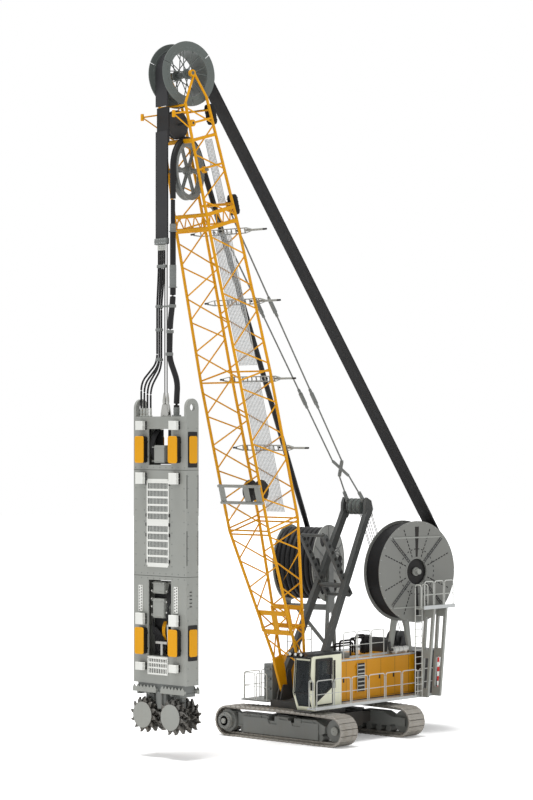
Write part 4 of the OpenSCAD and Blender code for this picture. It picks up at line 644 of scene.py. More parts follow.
shoe_outline = np.array([(0.02, 0.045), (0.06, 0.012), (0.30, 0.012), (0.34, 0), (0.44, 0), (0.48, 0.012),
                         (0.88, 0.012), (0.93, 0.045), (0.93, 0.085), (0.02, 0.085)])
shoe_outline = np.column_stack([(shoe_outline[:, 0] - 0.475) * PITCH, -shoe_outline[:, 1]])
pan = slab(shoe_outline, -SHOE_W / 2, SHOE_W / 2, 0.01)
pan = (pan[0][:, [2, 0, 1]], pan[1])
links = boxes([(s * 0.2 - 0.05, -0.5 * PITCH, -0.168) for s in (-1, 1)],
              [(s * 0.2 + 0.05, 0.48 * PITCH, -0.08) for s in (-1, 1)], 0.015)
bolts = copies(disc(0.022, -0.014, 0.002, 0.004, 6),
               [(x, y, 0) for x in (-0.2, 0.2) for y in (-0.25 * PITCH, 0.33 * PITCH)])
shoe = join(pan, links, bolts)

runs = (np.arange(SHOES) + 0.475) * PITCH
ahead = unit(track_loop(runs + 0.4 * PITCH) - track_loop(runs - 0.4 * PITCH))
centre = (track_loop(runs + 0.4 * PITCH) + track_loop(runs - 0.4 * PITCH)) / 2
out = np.stack([-ahead[:, 1], ahead[:, 0]], -1)
for name, side in (("front", 1), ("rear", -1)):
    x, y, z = shoe[0].T
    flat = centre[:, None] + y[None, :, None] * ahead[:, None] + z[None, :, None] * out[:, None]
    points = np.concatenate([np.broadcast_to(x + side * TRACK_X, flat.shape[:2])[..., None], flat], -1)
    n = len(shoe[0])
    faces = [[v + n * k for v in f] for k in range(SHOES) for f in shoe[1]]
    piece(f"{name}_track_shoes", "undercarriage", track_steel, (points.reshape(-1, 3), faces),
          stands_for=[f"track_{name}"])
print("shoes", 2 * SHOES, "pitch", round(PITCH, 3), "m")

# %% [markdown]
# The drive hub at one end is a planetary gear in a bolted drum, and the idler at the other has a plain cap.
# Both are turned profiles, and the hub has a ring of bolts. Upright ribs and long flat bars break up the long
# frame side.

# %% Hubs, idlers and frame ribs
hub_turned = lathe([(0.02, 0.065), (0.09, 0.065), (0.11, 0.05), (0.11, 0.0), (0.2, 0.0), (0.21, -0.015),
                    (0.30, -0.02),
                    (0.33, -0.05), (0.33, -0.12), (0.02, -0.12)], 40)
hub_bolts = copies(join(disc(0.017, -0.012, 0.02, 0.004, 6)), [(0.262, 0, 0)])
hub_bolts = copies(hub_bolts, turns=np.arange(16) * 22.5)
cap_turned = lathe([(0.02, 0.03), (0.12, 0.03), (0.17, 0.01), (0.18, -0.05), (0.02, -0.05)], 32)
crawler_bits, rib_bits = [], []
for side in (-1, 1):
    hub = Place((side * 2.71, -END_Y, END_R), (0, side, 0), (0, 0, 1))
    idler = Place((side * 2.325, END_Y, END_R), (0, side, 0), (0, 0, 1))
    crawler_bits += [hub.put(hub_turned), hub.put(hub_bolts), idler.put(cap_turned)]
    x = side * 2.375
    rib_y = np.array([-1.7, -1.05, -0.05, 1.1, 1.75])
    rib_bits.append(bars(np.column_stack([np.full(5, x), rib_y, np.full(5, 0.44)]),
                         np.column_stack([np.full(5, x), rib_y, np.full(5, 0.93)]), 0.03, 0.05, up=(1, 0, 0)))
    rib_bits.append(bars([(x, -2.2, 0.45)], [(x, 2.0, 0.45)], 0.05, 0.04))
    rib_bits.append(bars([(x, -2.2, 0.95), (x, -0.3, 0.95), (x, 0.75, 0.95)],
                         [(x, -0.7, 0.95), (x, 0.36, 0.95), (x, 1.7, 0.95)], 0.05, 0.03))
piece("track_hubs", "undercarriage", grey, *crawler_bits)
piece("track_frame_ribs", "undercarriage", mid_grey, *rib_bits)
print("crawler pieces", len(made_pieces))

# %% [markdown]
# ## Side plates
# The outer side of each track frame is a thick plate with two notches in its upper edge. It could be a box
# with cuts. An outline given a thickness makes it in one step, and its bevel catches the light.

# %% Side plates of the track frames
plate_outline = [(-2.0, 0.2), (2.0, 0.2), (2.0, 0.86), (1.15, 0.86), (1.05, 0.66), (0.65, 0.66), (0.55, 0.86),
                 (-0.1, 0.86), (-0.2, 0.66), (-0.6, 0.66), (-0.7, 0.86), (-2.0, 0.86)]
side_plates = []
for x, sign in ((2.361, 1), (-2.361, -1)):
    outer_face = Place((x, 0, 0), (0, sign, 0), (0, 0, 1))
    side_plates.append(outer_face.put(slab(plate_outline, 0.0, 0.04, 0.01)))
piece("track_side_plates", "undercarriage", mid_grey, *side_plates)
print("side plates", len(side_plates))

# %% [markdown]
# ## Boom
# The boom's chords and bracing come from CAD. What makes it look real is what is bolted to it: an open
# grating to climb on, arms that guide the hoses, rubber buffers, belt guides and a tagline winch. They are
# written in the boom's own frame: u along it, v to the left and w to the rear.

# %% The boom's frame and its grating
BOOM_ANGLE = math.radians(74.3)
boom = Place((1.5, 0, 2.0), (math.cos(BOOM_ANGLE), 0, math.sin(BOOM_ANGLE)), (0, 1, 0))
FOOT_END, LOWER_END, UPPER_END, HEAD_END = 6.9, 12.9, 18.85, 23.8


def chord_hw(u):
    """Half spacing of the chords from side to side: straight lines between the section ends."""
    return np.interp(u, [1.0, FOOT_END, LOWER_END, UPPER_END, HEAD_END], [0.62, 1.05, 1.05, 0.88, 0.69])


def chord_hd(u):
    """Half spacing of the chords from front to back."""
    return np.interp(u, [1.0, FOOT_END, LOWER_END, UPPER_END, HEAD_END], [0.15, 0.885, 0.885, 0.8, 0.6])


def grating(place, low, high, across, along, pitch, runners, depth=0.035):
    """Cross bars at every pitch between two edges, runners at even steps, and a rim, as flat upright bars."""
    count = int((high - low) / pitch)
    t = low + (np.arange(count) + 0.5) * (high - low) / count
    y0, y1 = across
    w = along(t)
    cross = bars(place(np.column_stack([t, np.full(count, y0), w])),
                 place(np.column_stack([t, np.full(count, y1), w])),
                 depth * 0.6, 0.008, up=place.axes[0], bevel=0.001)
    y = np.linspace(y0, y1, runners)
    a, b = np.column_stack([np.full(runners, low), y,
                            np.full(runners, along(low))]), np.column_stack([np.full(runners, high), y,
                                                                             np.full(runners, along(high))])
    rails = bars(place(a), place(b), 0.007, depth, up=place.axes[2], bevel=0.001)
    rim = bars(place(a[[0, -1]]), place(b[[0, -1]]), 0.012, depth * 1.2, up=place.axes[2], bevel=0.002)
    return join(cross, rails, rim)


ladder_parts = [grating(boom, low + 0.3, high - 0.3, (-0.45, 0.45), lambda u: chord_hd(u) - 0.055, 0.055, 13)
                for low, high in ((FOOT_END, LOWER_END), (LOWER_END, UPPER_END))]
piece("boom_grating", "boom", zinc, *ladder_parts, stands_for=["boom_walkway"])
print("grating", made_pieces[-1])

# %% [markdown]
# Four arms lie across the rear of the boom. Each is a pair of channels on edge with spacers, a saddle in the
# middle and dark rubber stops at its ends, so the hoses can't rub on the lattice.

# %% Hose arms
ARM_U = [9.79, 12.6, 15.72, 18.52]
arm_metal, arm_stops = [], []
for u in ARM_U:
    w = float(chord_hd(u)) + 0.058
    for edge in (-0.1, 0.1):
        arm_metal.append(bars(boom([(u + edge, -1.3, w + 0.052)]), boom([(u + edge, 1.15, w + 0.052)]), 0.03,
                              0.095, up=boom.axes[2]))
        arm_metal.append(bars(boom([(u + edge, -1.3, w + 0.052)]),
                              boom([(u + edge * 0.35, -1.66, w + 0.052)]), 0.03, 0.09, up=boom.axes[2]))
        arm_metal.append(bars(boom([(u + edge, 1.15, w + 0.052)]), boom([(u + edge * 0.35, 1.4, w + 0.052)]),
                              0.03, 0.09, up=boom.axes[2]))
    arm_metal.append(tube(boom([(u, 1.1, w + 0.052), (u, 1.6, w + 0.052), (u, 2.06, w + 0.052)]), 0.043, 14))
    v = np.linspace(-1.25, 1.1, 11)
    flat = np.full(11, w + 0.03)
    arm_metal.append(bars(boom(np.column_stack([np.full(11, u - 0.1), v, flat])),
                          boom(np.column_stack([np.full(11, u + 0.1), v, flat])), 0.07, 0.012,
                          up=boom.axes[2]))
    for v0, v1 in ((-1.82, -1.62), (2.02, 2.22)):
        arm_stops.append(bars(boom([(u, v0, w + 0.052)]), boom([(u, v1, w + 0.052)]), 0.07, 0.085,
                              up=boom.axes[2], bevel=0.02))
    for v0 in (-0.62, 0.62):
        arm_stops.append(bars(boom([(u, v0 - 0.07, w + 0.115)]), boom([(u, v0 + 0.07, w + 0.115)]), 0.085,
                              0.03, up=boom.axes[2], bevel=0.01))
piece("hose_arm_channels", "boom", grey, *arm_metal, stands_for=["hose_arms"])
piece("hose_arm_stops", "boom", black_paint, *arm_stops)
print("arms", len(ARM_U))


# %% [markdown]
# The rubber buffers keep the belt off the boom. Each is a block with very round edges, which is a box whose
# three coordinates follow a superellipse: the sum of their powers stays one.

# %% Rubber buffers
def soft_box(centre, half, power=5.0, rows=24, cols=40):
    """x, y, z = half size times cos or sin of two angles, each raised to 2 / power with its sign kept."""
    a = np.linspace(-math.pi / 2, math.pi / 2, rows)[1:-1, None]
    b = np.linspace(0, 2 * math.pi, cols, endpoint=False)[None, :]

    def bend(value):
        return np.sign(value) * np.abs(value) ** (2 / power)

    points = np.stack([bend(np.cos(a)) * bend(np.cos(b)), bend(np.cos(a)) * bend(np.sin(b)),
                       bend(np.sin(a)) + 0 * b], -1)
    n = (rows - 2) * cols
    low = [[n, (j + 1) % cols, j] for j in range(cols)]
    high = [[n + 1, n - cols + j, n - cols + (j + 1) % cols] for j in range(cols)]
    points = np.concatenate([points.reshape(-1, 3), [(0, 0, -1), (0, 0, 1)]])
    return points * np.asarray(half) + np.asarray(centre), grid_faces(rows - 2, cols, True) + low + high


buffer_parts = []
for u, outer in ((HEAD_END - 0.7, 0.72), (UPPER_END + 0.7, 0.88)):
    w = float(chord_hd(u)) + 0.058
    block = soft_box((u, outer - 0.18, w + 0.13), (0.4, 0.2, 0.125))
    ribs = [soft_box((u + s, outer - 0.18, w + 0.13), (0.025, 0.208, 0.132), 6, 12, 24)
            for s in (-0.24, -0.08, 0.08, 0.24)]
    buffer_parts += [boom.put(block)] + [boom.put(r) for r in ribs]
piece("belt_buffers", "boom", buffer_rubber, *buffer_parts, stands_for=["buffers"])
print("buffers", made_pieces[-1])

# %% [markdown]
# ## Wheels of the head
# The top wheel is light: two flange rings of bolted segments, a thin drum between them and crossed spokes
# like a bicycle's. Spokes that leave the hub sideways carry the turning force, so they are set off.

# %% Top wheel
BELT_YAW = math.atan2(-1.85, 8.001 + 3.5)
forward = (math.cos(BELT_YAW), math.sin(BELT_YAW), 0)
top_wheel = Place((8.001, 0, 25.9), forward, (0, 0, 1))
wheel_parts = [ring(0.872, 0.899, -0.44, 0.44, 0.008, 72)]
for z in (-0.465, 0.425):
    wheel_parts.append(ring(0.872, 0.965, z, z + 0.04, 0.006, 72))
    wheel_parts += [ring(0.945, 1.23, z + 0.002, z + 0.038, 0.006, 22, (a + 0.8, a + 119.2))
                    for a in (20.0, 140.0, 260.0)]
    wheel_parts.append(ring(0.995, 1.012, z - 0.006, z + 0.046, 0.004, 72))
spoke_turns = np.arange(14) * 360 / 14
for z, lean in ((-0.40, 24), (-0.40, -24), (0.40, 24), (0.40, -24)):
    a, b = math.radians(lean), 0.0
    line = np.array([[0.19, 0, z * 0.75], [0.88 * math.cos(a), 0.88 * math.sin(a), z]])
    wheel_parts.append(copies(tube(line, 0.019, 8), turns=spoke_turns[::2] + (0 if lean > 0 else 360 / 14)))
wheel_parts.append(lathe([(0.065, -0.46), (0.13, -0.46), (0.13, -0.36), (0.2, -0.345), (0.2, -0.3),
                          (0.1, -0.28), (0.1, 0.28),
                          (0.2, 0.3), (0.2, 0.345), (0.13, 0.36), (0.13, 0.46), (0.065, 0.46)], 32))
wheel_parts.append(disc(0.07, -0.72, 0.72))
piece("top_wheel_rings", "top_wheel", olive_grey, *[top_wheel.put(s) for s in wheel_parts],
      stands_for=["top_wheel"])
print("top wheel", made_pieces[-1])

# %% [markdown]
# The hose wheel below it is a cast rim with a deep groove, six holes and a heavy hub. Turning one half
# section about the axle gives rim and web together, and the ribs are bars between the holes.

# %% Hose wheel
HOSE_YAW = math.atan2(0.075 + 2.655, 7.751 + 1.637)
hose_forward = (math.cos(HOSE_YAW), math.sin(HOSE_YAW), 0)
hose_wheel = Place((7.751, 0.075, 22.28), hose_forward, (0, 0, 1))
groove = [(1.185 - 0.1108 * math.cos(t), 0.1108 * math.sin(t)) for t in np.radians(np.linspace(-58, 58, 11))]
rim_section = [(0.93, -0.09), (1.0, -0.135), (1.115, -0.14),
               (1.128, -0.13)] + groove + [(1.128, 0.13), (1.115, 0.14), (1.0, 0.135), (0.93, 0.09)]
hose_parts = [lathe(rim_section, 72), ring(0.92, 0.965, -0.09, 0.09, 0.01, 72)]
spoke = slab([(0.13, -0.1), (0.55, -0.055), (0.94, -0.11), (0.94, 0.11), (0.55, 0.055), (0.13, 0.1)], -0.035,
             0.035, 0.01)
rib = slab([(0.13, -0.012), (0.93, -0.012), (0.93, 0.012), (0.13, 0.012)], -0.075, 0.075, 0.005)
hose_parts += [copies(spoke, turns=np.arange(6) * 60.0), copies(rib, turns=np.arange(6) * 60.0)]
hose_parts.append(lathe([(0.055, -0.17), (0.12, -0.17), (0.15, -0.14), (0.16, -0.05), (0.16, 0.05),
                         (0.15, 0.14), (0.12, 0.17), (0.055, 0.17)], 32))
hose_parts.append(disc(0.06, -0.885, 0.885, 0.01, 24))
piece("hose_wheel_casting", "hose_wheel", mid_grey, *[hose_wheel.put(s) for s in hose_parts],
      stands_for=["hose_wheel"])
print("hose wheel", made_pieces[-1])


# %% [markdown]
# ## What is bolted to the boom
# Two yellow guides keep the belt in its lane. Box beams with a zigzag stiffen the head, a pierced cross box
# ties the foot, and a small winch for a steadying line sits in the lower part behind two plates.

# %% Belt guides and head beams
def chord(u, side, rear):
    """A point on one of the four chords, side -1 or 1 and rear -1 or 1."""
    return boom([(u, side * float(chord_hw(u)), rear * float(chord_hd(u)))])[0]


guide_parts = []
for side, tip in ((1, (9.2, 0.75, 24.25)), (-1, (9.2, -0.92, 24.25))):
    for u, r in ((HEAD_END - 1.0, 0.026), (HEAD_END - 0.35, 0.03)):
        guide_parts.append(tube(np.array([chord(u, side, -1), tip]), r, 12))
    guide_parts.append(copies(disc(0.065, -0.13, 0.13, 0.01, 20), spots=[tip]))
piece("belt_guides", "boom", yellow, *guide_parts)
beam_parts = []
for u in (18.98, 19.5):
    for (s0, r0), (s1, r1) in (((-1, -1), (1, -1)), ((1, -1), (1, 1))):
        beam_parts.append(bars([chord(u, s0, r0)], [chord(u, s1, r1)], 0.12, 0.14, up=boom.axes[0],
                               bevel=0.02))
for (s0, r0), (s1, r1) in (((-1, -1), (1, -1)), ((1, -1), (1, 1))):
    steps = np.linspace(0, 1, 9)[:, None]
    low = chord(18.98, s0, r0) * (1 - steps) + chord(18.98, s1, r1) * steps
    high = chord(19.5, s0, r0) * (1 - steps) + chord(19.5, s1, r1) * steps
    zig = np.where((np.arange(9) % 2 == 0)[:, None], low, high)
    beam_parts += [tube(np.array([a, b]), 0.026, 8) for a, b in zip(zig[:-1], zig[1:])]
beam_parts.append(bars([chord(22.35, -1, -1)], [chord(22.35, 1, -1)], 0.15, 0.17, up=boom.axes[0],
                       bevel=0.03))
beam_parts.append(bars([chord(22.35, 1, -1)], [chord(22.35, 1, 1)], 0.1, 0.12, up=boom.axes[0], bevel=0.02))
piece("head_beams", "boom", yellow, *beam_parts)
head_walk = grating(boom, 19.7, 22.2, (0.22, 0.56), lambda u: chord_hd(u) - 0.08, 0.055, 6)
piece("head_grating", "boom", zinc, head_walk)
print("head beams", len(beam_parts))

# %% [markdown]
# ## Foot box and steadying winch
# Near its foot the boom is tied by a box of plates, and higher up a small winch holds a line that steadies
# the load. Both are bars and plates set square to the boom, so the boom's own frame places them.

# %% Foot box and steadying winch
foot_box = []
for u0, u1 in ((2.55, 3.35),):
    half0, half1 = float(chord_hw(u0)), float(chord_hw(u1))
    for rear in (-1, 1):
        w = rear * float(chord_hd(2.95))
        rim = [(u0, -half0), (u1, -half1), (u1, half1), (u0, half0)]
        for k, (a, b) in enumerate(zip(rim, rim[1:] + rim[:1])):
            wide = (0.16, 0.2, 0.16, 0.2)[k]
            foot_box.append(bars(boom([(a[0], a[1], w)]), boom([(b[0], b[1], w)]), wide, 0.03,
                                 up=boom.axes[2], bevel=0.008))
        foot_box.append(bars(boom([(u0, 0, w)]), boom([(u1, 0, w)]), 0.3, 0.028, up=boom.axes[2],
                             bevel=0.008))
piece("foot_cross_box", "boom", yellow, *foot_box)
WINCH_U, WINCH_W = 8.45, -float(chord_hd(8.45)) - 0.09
winch_plates = [bars(boom([(WINCH_U + s, -1.12, WINCH_W)]), boom([(WINCH_U + s, 1.12, WINCH_W)]), 0.1, 0.12,
                     up=boom.axes[2], bevel=0.015)
                for s in (-0.34, 0.34)]
winch_plates += [bars(boom([(WINCH_U - 0.34, v, WINCH_W)]), boom([(WINCH_U + 0.34, v, WINCH_W)]), 0.3, 0.03,
                      up=boom.axes[2], bevel=0.01)
                 for v in (-0.95, 0.35, 0.95)]
piece("line_winch_frame", "boom", grey, *winch_plates)
winch_axle = Place(boom([(WINCH_U, 0.35, -0.45)])[0], boom.axes[0], boom.axes[2])
drum_profile = [(0.06, -0.3), (0.44, -0.3), (0.44, -0.26), (0.27, -0.24), (0.27, 0.24), (0.44, 0.26),
                (0.44, 0.3), (0.06, 0.3)]
piece("line_winch_drum", "boom", black_paint, winch_axle.put(lathe(drum_profile, 40)),
      winch_axle.put(disc(0.055, -0.5, 0.5, 0.01, 16)))
print("winch plates", len(winch_plates))

# %% [markdown]
# ## Cutter
# The cutter is a tall steel box that hangs in the trench. Guide pads and shoes on its faces steer it, covers
# and openings show hoses and pumps inside, and two toothed wheel sets turn at its foot. Its frame here has
# a across to the left, b up and c forward, and what sits on the front face is repeated on the rear one.

# %% The cutter's frame and its faces
CUT_X, CUT_Y, CUT_T, CUT_W = 8.75, -0.1, 0.66, 2.8
cutter = Place((CUT_X, CUT_Y, 0), (0, 1, 0), (0, 0, 1))
FACE = CUT_T / 2


def both_faces(shape):
    """The shape on the front face and again on the rear face, half a turn about the upright axis."""
    return cutter.put(copies(shape, turns=[0, 180], axis=1))


def panel(a0, a1, b0, b1, c0, c1, bevel=0.008):
    return boxes([(a0, b0, c0)], [(a1, b1, c1)], bevel)


def rounded_outline(a0, a1, b0, b1, radius, steps=5):
    """A rectangle whose corners are quarter circles."""
    t = np.radians(np.linspace(0, 90, steps))
    corners = [(a1 - radius, b1 - radius, 0), (a0 + radius, b1 - radius, 90), (a0 + radius, b0 + radius, 180),
               (a1 - radius, b0 + radius, 270)]
    return np.concatenate([np.column_stack([x + radius * np.cos(t + math.radians(s)),
                                            y + radius * np.sin(t + math.radians(s))])
                           for x, y, s in corners])


# %% Guide pads: a wearing face of yellow plastic on a black steel body
PAD_A, PAD_W, PAD_OUT = 0.885, 0.48, 0.25
PADS = [(3.89, 4.91), (11.14, 12.16)]
SHOES_B = [(3.29, 3.59), (5.02, 5.45), (10.35, 10.78), (12.39, 12.73)]
pad_faces, pad_bodies, side_faces, side_bodies = [], [], [], []
for low, high in PADS:
    for a in (-PAD_A, PAD_A):
        outline = rounded_outline(a - PAD_W / 2, a + PAD_W / 2, low, high, 0.09)
        pad_faces.append(slab(outline, FACE + PAD_OUT - 0.055, FACE + PAD_OUT, 0.03))
        pad_bodies.append(slab(rounded_outline(a - PAD_W / 2 + 0.008, a + PAD_W / 2 - 0.008, low + 0.008,
                                               high - 0.008, 0.085), FACE + 0.001, FACE + PAD_OUT - 0.05,
                                               0.01))
        pad_bodies += [panel(a - PAD_W / 2 - 0.02, a + PAD_W / 2 + 0.02, b, b + 0.05, FACE + 0.001,
                             FACE + 0.12) for b in (low + 0.2, high - 0.25)]
    outline = rounded_outline(-0.21, 0.21, low, high, 0.08)
    for side in (1, -1):
        edge = Place((CUT_X, CUT_Y + side * CUT_W / 2, 0), (-side, 0, 0), (0, 0, 1))
        side_faces.append(edge.put(slab(outline, 0.02, 0.06, 0.025)))
        side_bodies.append(edge.put(slab(rounded_outline(-0.25, 0.25, low - 0.16, high + 0.16, 0.04), 0.001,
                                         0.012, 0.004)))
        side_bodies.append(edge.put(slab(outline * [0.99, 1] , 0.001, 0.024, 0.004)))
piece("cutter_pad_faces", "cutter", yellow, *[both_faces(s) for s in pad_faces], *side_faces,
      stands_for=["cutter_pads"])
piece("cutter_pad_bodies", "cutter", black_paint, *[both_faces(s) for s in pad_bodies], *side_bodies)
print("pads", len(PADS) * 6)

# %% Guide shoes: white wear blocks with a toothed black holder
shoe_white, shoe_black = [], []
for low, high in SHOES_B:
    mid = (low + high) / 2
    for a in (-PAD_A, PAD_A):
        face_outline = [(a - 0.2, low), (a + 0.2, low), (a + 0.2, mid - 0.03), (a + 0.215, mid),
                        (a + 0.2, mid + 0.03), (a + 0.2, high), (a - 0.2, high)]
        shoe_white.append(slab(face_outline, FACE + 0.09, FACE + PAD_OUT, 0.015))
        shoe_black += [panel(a - 0.19, a + 0.19, b, b + (high - low) * 0.2, FACE + 0.001,
                             FACE + PAD_OUT - 0.04, 0.012)
                       for b in np.linspace(low + 0.01, high - (high - low) * 0.2 - 0.01, 4)]
        shoe_black.append(panel(a - 0.17, a + 0.17, low + 0.02, high - 0.02, FACE + 0.001, FACE + 0.1))
piece("cutter_guide_shoes", "cutter", white_paint, *[both_faces(s) for s in shoe_white])
piece("cutter_shoe_holders", "cutter", black_paint, *[both_faces(s) for s in shoe_black])
print("guide shoes", len(SHOES_B) * 4)

# %% [markdown]
# The long white cover over the hose drum is a frame with twelve rows of slats. The pattern is a grid of bars:
# rows across, narrow bars up, and behind them a flat mid-grey sheet stands for the drum in its shade.

# %% Covers, grilles and seams
A0, A1, B0, B1 = -0.68, 0.50, 7.21, 10.54
rows_b = np.concatenate([np.linspace(B0 + 0.12, 8.80, 6), np.linspace(8.98, B1 - 0.12, 6)])
cover = [panel(A0, A0 + 0.06, B0 + 0.06, B1 - 0.06, FACE + 0.001, FACE + 0.035),
         panel(A1 - 0.06, A1, B0 + 0.06, B1 - 0.06, FACE + 0.001, FACE + 0.035),
         panel(A0 + 0.05, A1 - 0.05, B0, B0 + 0.09, FACE + 0.001, FACE + 0.035),
         panel(A0 + 0.05, A1 - 0.05, B1 - 0.09, B1, FACE + 0.001, FACE + 0.035),
         panel(A0 + 0.05, A1 - 0.05, 8.83, 8.95, FACE + 0.001, FACE + 0.03)]
cover.append(bars(np.column_stack([np.full(12, A0 + 0.05), rows_b, np.full(12, FACE + 0.017)]),
                  np.column_stack([np.full(12, A1 - 0.05), rows_b, np.full(12, FACE + 0.017)]), 0.03, 0.075,
                  up=(0, 1, 0)))
uprights = np.linspace(A0 + 0.14, A1 - 0.14, 13)
cover.append(bars(np.column_stack([uprights, np.full(13, B0 + 0.06), np.full(13, FACE + 0.012)]),
                  np.column_stack([uprights, np.full(13, B1 - 0.06), np.full(13, FACE + 0.012)]), 0.012,
                  0.018, up=(0, 0, 1)))
piece("cutter_cover_slats", "cutter", white_paint, *[both_faces(s) for s in cover])
drum_back = [panel(A0 + 0.04, A1 - 0.04, B0 + 0.04, B1 - 0.04, FACE + 0.0005, FACE + 0.004, 0.001)]
hinges = [panel(a, a + 0.05, b, b + 0.13, FACE + 0.001, FACE + 0.05) for a in (A0 - 0.045, A1 - 0.005)
          for b in (B0 + 0.15, 8.35, 8.75, 9.1, B1 - 0.25)]
piece("cutter_drum_shade", "cutter", mid_grey, *[both_faces(s) for s in drum_back])
piece("cutter_cover_hinges", "cutter", black_paint, *[both_faces(s) for s in hinges])
low_cover = [panel(-0.62, 0.46, 3.14, 3.2, FACE + 0.001, FACE + 0.05),
             panel(-0.62, 0.46, 3.74, 3.82, FACE + 0.001, FACE + 0.05),
             panel(-0.62, -0.56, 3.18, 3.78, FACE + 0.001, FACE + 0.05),
             panel(0.40, 0.46, 3.18, 3.78, FACE + 0.001, FACE + 0.05),
             panel(-0.6, 0.44, 3.37, 3.43, FACE + 0.001, FACE + 0.045),
             panel(-0.6, 0.44, 3.56, 3.62, FACE + 0.001, FACE + 0.045)]
slats = np.linspace(-0.5, 0.34, 10)
low_cover.append(bars(np.column_stack([slats, np.full(10, 3.17), np.full(10, FACE + 0.025)]),
                      np.column_stack([slats, np.full(10, 3.79), np.full(10, FACE + 0.025)]), 0.035, 0.03,
                      up=(0, 0, 1)))
low_cover += [panel(a - 0.11, a + 0.11, 5.5, 6.5, FACE + 0.001, FACE + 0.02) for a in (-1.02, 0.86)]
piece("cutter_low_grille", "cutter", white_paint, *[both_faces(s) for s in low_cover])
holes = [(a + s * 0.05, b, FACE + 0.02) for a in (-1.02, 0.86) for s in (-1, 1)
         for b in np.linspace(5.57, 6.43, 9) + 0.02 * s]
# The black discs in the pierced plates, the black sheet behind the low grille and the black slot strips on
# the sides are painted shade in holes and openings. The thin strips across the faces are dark seams.
gap_shade_and_seams = [copies(disc(0.028, -0.004, 0.002, 0.001, 12), holes),
              panel(-0.6, 0.44, 3.16, 3.8, FACE + 0.0005, FACE + 0.006, 0.001)]
gap_shade_and_seams += [panel(-1.4, 1.4, b - 0.008, b + 0.008, FACE - 0.004, FACE + 0.002, 0.001)
               for b in (10.88, 6.87)]
for side in (1, -1):
    edge = Place((CUT_X, CUT_Y + side * CUT_W / 2, 0), (-side, 0, 0), (0, 0, 1))
    side_gap_shade_and_seams = [panel(a - 0.018, a + 0.018, b0, b1, -0.002, 0.003, 0.001) for a in (-0.3, 0.3) for b0,
                  b1 in ((7.3, 8.6), (9.45, 10.7))]
    side_gap_shade_and_seams += [panel(-0.33, 0.33, b - 0.007, b + 0.007, -0.004, 0.002, 0.001) for b in (10.88, 6.87)]
    side_gap_shade_and_seams += [panel(-0.16, -0.04, b, b + 0.03, -0.002, 0.02, 0.004) for b in np.linspace(5.75, 6.3, 5)]
    gap_shade_and_seams += [Place.put(edge, s) for s in side_gap_shade_and_seams]
piece("cutter_gap_shade_and_seams", "cutter", black_paint,
      *[both_faces(s) if k < 4 else s for k, s in enumerate(gap_shade_and_seams)])
print("covers", len(made_pieces))

# %% Bolt rows on the cutter's plates
rows = [(a, b, FACE) for a in (-1.28, -0.82, 0.64, 1.28) for b in np.arange(7.25, 10.3, 0.42)]
rows += [(a, b, FACE) for a in np.linspace(-1.3, 1.3, 9) for b in (6.78, 6.97, 10.97)]
bolt = disc(0.02, -0.004, 0.014, 0.004, 6)
side_rows = [(a, b, 0.0) for a in (-0.24, 0.24) for b in np.arange(3.0, 12.8, 0.45)
             if not (3.6 < b < 5.2 or 10.9 < b < 12.4)]
bolt_parts = [both_faces(copies(bolt, rows))]
for side in (1, -1):
    edge = Place((CUT_X, CUT_Y + side * CUT_W / 2, 0), (-side, 0, 0), (0, 0, 1))
    bolt_parts.append(edge.put(copies(bolt, side_rows)))
piece("cutter_bolts", "cutter", mid_grey, *bolt_parts)
print("bolts", len(rows) * 2 + len(side_rows) * 2)

# %% [markdown]
# Behind the two openings lie pump housings, valve blocks and hoses. They only need to read as crowded
# machinery, but each is a real surface: blocks with covers, and hoses as tubes on smooth curves.

# %% Machinery in the openings
inner_grey, inner_hoses_and_shade, inner_yellow, inner_steel = [], [], [], []
inner_grey += [panel(-0.36, 0.22, 11.14, 11.81, 0.0, 0.30, 0.03),
               panel(-0.42, 0.2, 6.2, 6.66, -0.1, 0.28, 0.03),
               panel(-0.42, 0.2, 5.28, 6.02, -0.1, 0.30, 0.03)]
inner_grey += [panel(-0.45, 0.23, b, b + 0.03, 0.0, 0.31) for b in (11.2, 11.72, 6.25, 6.58, 5.35, 5.92)]
# The three flat sheets in hose rubber at the middle of the openings are painted shade deep inside them.
inner_hoses_and_shade += [panel(-0.58, 0.58, 3.9, 6.68, -0.02, 0.0), panel(-0.58, 0.1, 11.1, 11.81, -0.02, 0.0),
               panel(-0.58, -0.13, 11.81, 12.4, -0.02, 0.0)]
for k in range(6):
    a = -0.56 + 0.03 * k
    inner_hoses_and_shade.append(tube(spline([(a, 5.2 - 0.1 * k, 0.12), (a + 0.06, 4.9, 0.2),
                                   (a + 0.2 + 0.05 * k, 4.6, 0.24), (a + 0.3 + 0.06 * k, 4.2, 0.2),
                                   (a + 0.3, 3.95, 0.1)]), 0.026, 8))
    inner_hoses_and_shade.append(tube(spline([(-0.52 + 0.05 * k, 12.35, 0.1), (-0.5 + 0.04 * k, 12.1, 0.24),
                                   (-0.56 + 0.03 * k, 11.7, 0.27), (-0.5 + 0.02 * k, 11.25, 0.15)]), 0.024,
                                   8))
    inner_hoses_and_shade.append(tube(spline([(0.28 + 0.05 * k, 6.6, 0.08), (0.3 + 0.04 * k, 6.0, 0.22),
                                   (0.42 - 0.03 * k, 5.4, 0.25), (0.3 + 0.03 * k, 4.9, 0.12)]), 0.022, 8))
for k in range(3):
    inner_yellow.append(tube(spline([(0.02 + 0.06 * k, 5.15, 0.1), (0.05 + 0.06 * k, 4.95, 0.22),
                                     (0.08 + 0.05 * k, 4.7, 0.24), (0.02 + 0.05 * k, 4.45, 0.1)]), 0.02, 8))
